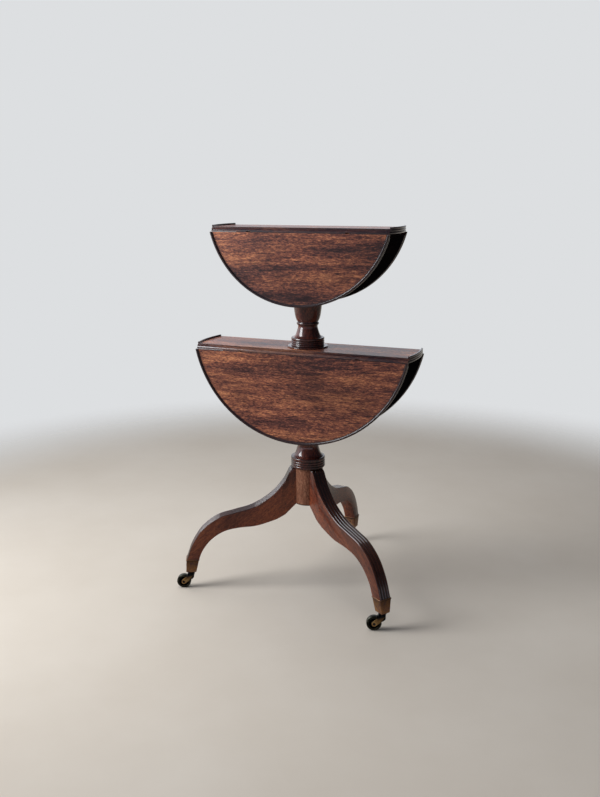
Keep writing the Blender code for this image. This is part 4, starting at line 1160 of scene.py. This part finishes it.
def build_foot(name, angle):
    at_leg = ROOT @ spin(angle)
    chord = atan2(COLLAR_HEIGHT - CAP_TOP, FOOT_RADIUS - LEG_START)
    along = spin(-chord, "Y").to_3x3()
    leg = mark(leg_mesh(), along, (0.5 + 0.8 * angle, 0.2 * angle, 0.3))
    dress("leg_wood_" + name, leg, ("leg",), ["leg_" + name], at_leg)
    dress("cap_shell_" + name, cap_mesh(), ("brass",), ["castor_cap_" + name], at_leg)
    screw = moved(screw_mesh(CAP_SCREW_RADIUS, 0.9), cap_screw_place())
    dress("cap_slotted_screw_" + name, screw, ("steel",), ["cap_screw_" + name], at_leg)
    foot = shift(FOOT_RADIUS * cos(angle), FOOT_RADIUS * sin(angle), 0)
    build_castor(name, ROOT @ foot @ spin(TRAIL_ANGLE))


def strap_outline(slope):
    """Side view of an arm: level under the block, then up along the leg's underside."""
    def line(depth):
        bend = LEG_START - depth * (1 / cos(slope) - 1) / tan(slope)
        tip = LEG_START + STRAP_ARM_REACH
        level = BLOCK_BOTTOM - depth
        return [(0, level), (bend, level), (tip, level - (tip - bend) * tan(slope))]
    return line(GAP) + line(GAP + STRAP_THICKNESS)[::-1]


def build_strap():
    under = leg_curves()[1]
    run = under[CURVE_STEPS] - under[0]
    slope = atan2(-run.y, run.x)
    low = BLOCK_BOTTOM - GAP - STRAP_THICKNESS
    strap = rod(STRAP_HUB_RADIUS, low, BLOCK_BOTTOM - GAP, WHEEL_SIDES)
    outline = strap_outline(slope)
    arm = prism(outline, -STRAP_WIDTH / 2, STRAP_WIDTH / 2, "Y")
    x = LEG_START + STRAP_ARM_REACH * STRAP_SCREW_SHARE
    bend = outline[4]
    at_screw = shift(x, 0, bend[1] - (x - bend[0]) * tan(slope)) @ spin(slope, "Y")
    screws = [moved(screw_mesh(STRAP_SCREW_RADIUS, 0.4), shift(0, 0, low))]
    strap = cut(strap, moved(sink(STRAP_SCREW_RADIUS), shift(0, 0, low)))
    for angle in LEG_ANGLES:
        strap = combined(strap, moved(arm, spin(angle)), "UNION")
    for k, angle in enumerate(LEG_ANGLES):
        strap = cut(strap, moved(sink(FLAP_SCREW_RADIUS), spin(angle) @ at_screw))
        screws.append(moved(screw_mesh(FLAP_SCREW_RADIUS, 0.5 + k), spin(angle) @ at_screw))
    dress("strap_iron", strap, ("iron",), ["base_strap"], bevel=0.0003)
    dress("strap_screws", joined(*screws), ("steel",), ["strap_screw"])


build_columns()
for foot_name, foot_angle in zip(LEG_NAMES, LEG_ANGLES):
    build_foot(foot_name, foot_angle)
build_strap()
for tier_name in TIER_RADII:
    build_tier(tier_name)
for node_name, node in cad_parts.items():
    if node_name.startswith("castor_pivot_"):
        node.data.materials.clear()
        node.data.materials.append(MATERIALS["steel"])


# Stage, light and camera
FLOOR_FADE = (1.25, 2.1)
PALE_SIDE = (-0.80, 0.45, 0.35)
WALL = srgb(221, 223, 225)
DARK_ROOM = (0.020, 0.020, 0.024, 1)
PALE_ROOM = (0.82, 0.85, 0.92, 1)
CEILING = (0.04, 0.04, 0.05, 1)
LOW_STRIP = (0.60, 0.58, 0.68, 1)
DARK_GROUND = (0.15, 0.135, 0.12, 1)
PALE_GROUND = (0.45, 0.42, 0.37, 1)
DIM_LIGHT = (0.05, 0.05, 0.065, 1)
SIDE_LIGHT = (0.54, 0.57, 0.62, 1)
CAMERA_PLACE = (0.8050, -2.0299, 1.02)
CAMERA_PITCH = radians(13.72)
CAMERA_YAW = radians(22.48)
CAMERA_ROLL = radians(-0.23)


def build_stage():
    """A pale floor that fades into the backdrop by its distance from the table."""
    bm = bmesh.new()
    bmesh.ops.create_circle(bm, cap_ends=True, segments=96, radius=6.0)
    floor = finish_mesh(bm)
    m = Surface("pale_floor")
    place = m.add("TexCoord").outputs["Object"]
    far = m.add("VectorMath", {0: place}, operation="LENGTH").outputs["Value"]
    cloud = m.noise(place, (2.2, 2.2, 2.2), 5.0, 0.6)
    colour = m.mix(m.remap(cloud, 0.3, 0.7), srgb(210, 200, 186), srgb(217, 208, 195))
    m.feed(m.shader, {"Base Color": colour, "Roughness": 0.85, "Specular IOR Level": 0.2})
    clear = m.add("BsdfTransparent")
    fade = m.remap(far, *FLOOR_FADE, kind="SMOOTHSTEP")
    blend = m.add("MixShader", {0: fade, 1: m.shader.outputs[0], 2: clear.outputs[0]})
    m.feed(m.tree.nodes["Material Output"], {"Surface": blend.outputs[0]})
    floor.materials.append(m.material)
    stage = add_object("floor", floor)
    stage.visible_glossy = False


def mirrored_room(w, direction, side):
    """What glossy surfaces see: a dark room, pale at its left side, with a low pale strip in front."""
    split = w.add("SeparateXYZ", {0: direction})
    back, up = split.outputs["Y"], split.outputs["Z"]
    strip = w.math("MULTIPLY", w.remap(up, 0.03, 0.07), w.remap(up, 0.20, 0.14))
    strip = w.math("MULTIPLY", strip, w.remap(back, -0.2, -0.5))
    room = w.mix(side, DARK_ROOM, PALE_ROOM)
    room = w.mix(w.remap(up, 0.30, 0.60), room, CEILING)
    room = w.mix(strip, room, LOW_STRIP)
    ground = w.mix(w.math("MAXIMUM", side, w.remap(back, 0.80, 0.98)), DARK_GROUND, PALE_GROUND)
    return w.mix(w.remap(up, -0.06, 0.04), ground, room)


def build_world():
    """A pale wall to the camera, a room to glossy surfaces, and dim light that is brighter from the left."""
    world = bpy.data.worlds.new("studio")
    bpy.context.scene.world = world
    world.use_nodes = True
    world.node_tree.nodes.clear()
    w = Nodes(world.node_tree)
    direction = w.add("TexCoord").outputs["Generated"]
    facing = w.add("VectorMath", {0: direction, 1: PALE_SIDE}, operation="DOT_PRODUCT")
    side = w.remap(facing.outputs["Value"], 0.20, 0.75, kind="SMOOTHSTEP")
    path = w.add("LightPath").outputs
    diffuse = w.mix(side, DIM_LIGHT, SIDE_LIGHT)
    colour = w.mix(path["Is Glossy Ray"], diffuse, mirrored_room(w, direction, side))
    seen = w.math("MAXIMUM", path["Is Camera Ray"], path["Is Transmission Ray"])
    back = w.add("Background", {"Color": w.mix(seen, colour, WALL), "Strength": 1.0})
    w.add("OutputWorld", {"Surface": back.outputs[0]})


def add_lamp(name, place, target, size, power, colour, mirrored):
    lamp = bpy.data.lights.new(name, "AREA")
    lamp.shape = "RECTANGLE"
    lamp.size, lamp.size_y = size
    lamp.energy = power
    lamp.color = colour
    item = add_object(name, lamp)
    item.location = place
    item.rotation_euler = (Vector(target) - Vector(place)).to_track_quat("-Z", "Y").to_euler()
    item.visible_camera = False
    item.visible_glossy = mirrored


def build_camera():
    data = bpy.data.cameras.new("camera")
    data.lens = 39.03
    data.sensor_width = 36
    camera = add_object("camera", data)
    turn = spin(CAMERA_YAW) @ spin(pi / 2 - CAMERA_PITCH, "X") @ spin(CAMERA_ROLL)
    camera.matrix_world = shift(*CAMERA_PLACE) @ turn
    bpy.context.scene.camera = camera


build_stage()
build_world()
add_lamp("window", place=(-1.35, -1.0, 1.35), target=(0.0, -0.1, 0.55), size=(0.8, 1.3), power=29,
         colour=(0.95, 0.97, 1.0), mirrored=True)
add_lamp("ceiling", place=(-0.5, 0.0, 2.6), target=(0.0, 0.0, 0.5), size=(1.8, 1.8), power=25,
         colour=(1.0, 1.0, 1.0), mirrored=False)
build_camera()
bpy.context.scene.view_settings.view_transform = "Standard"
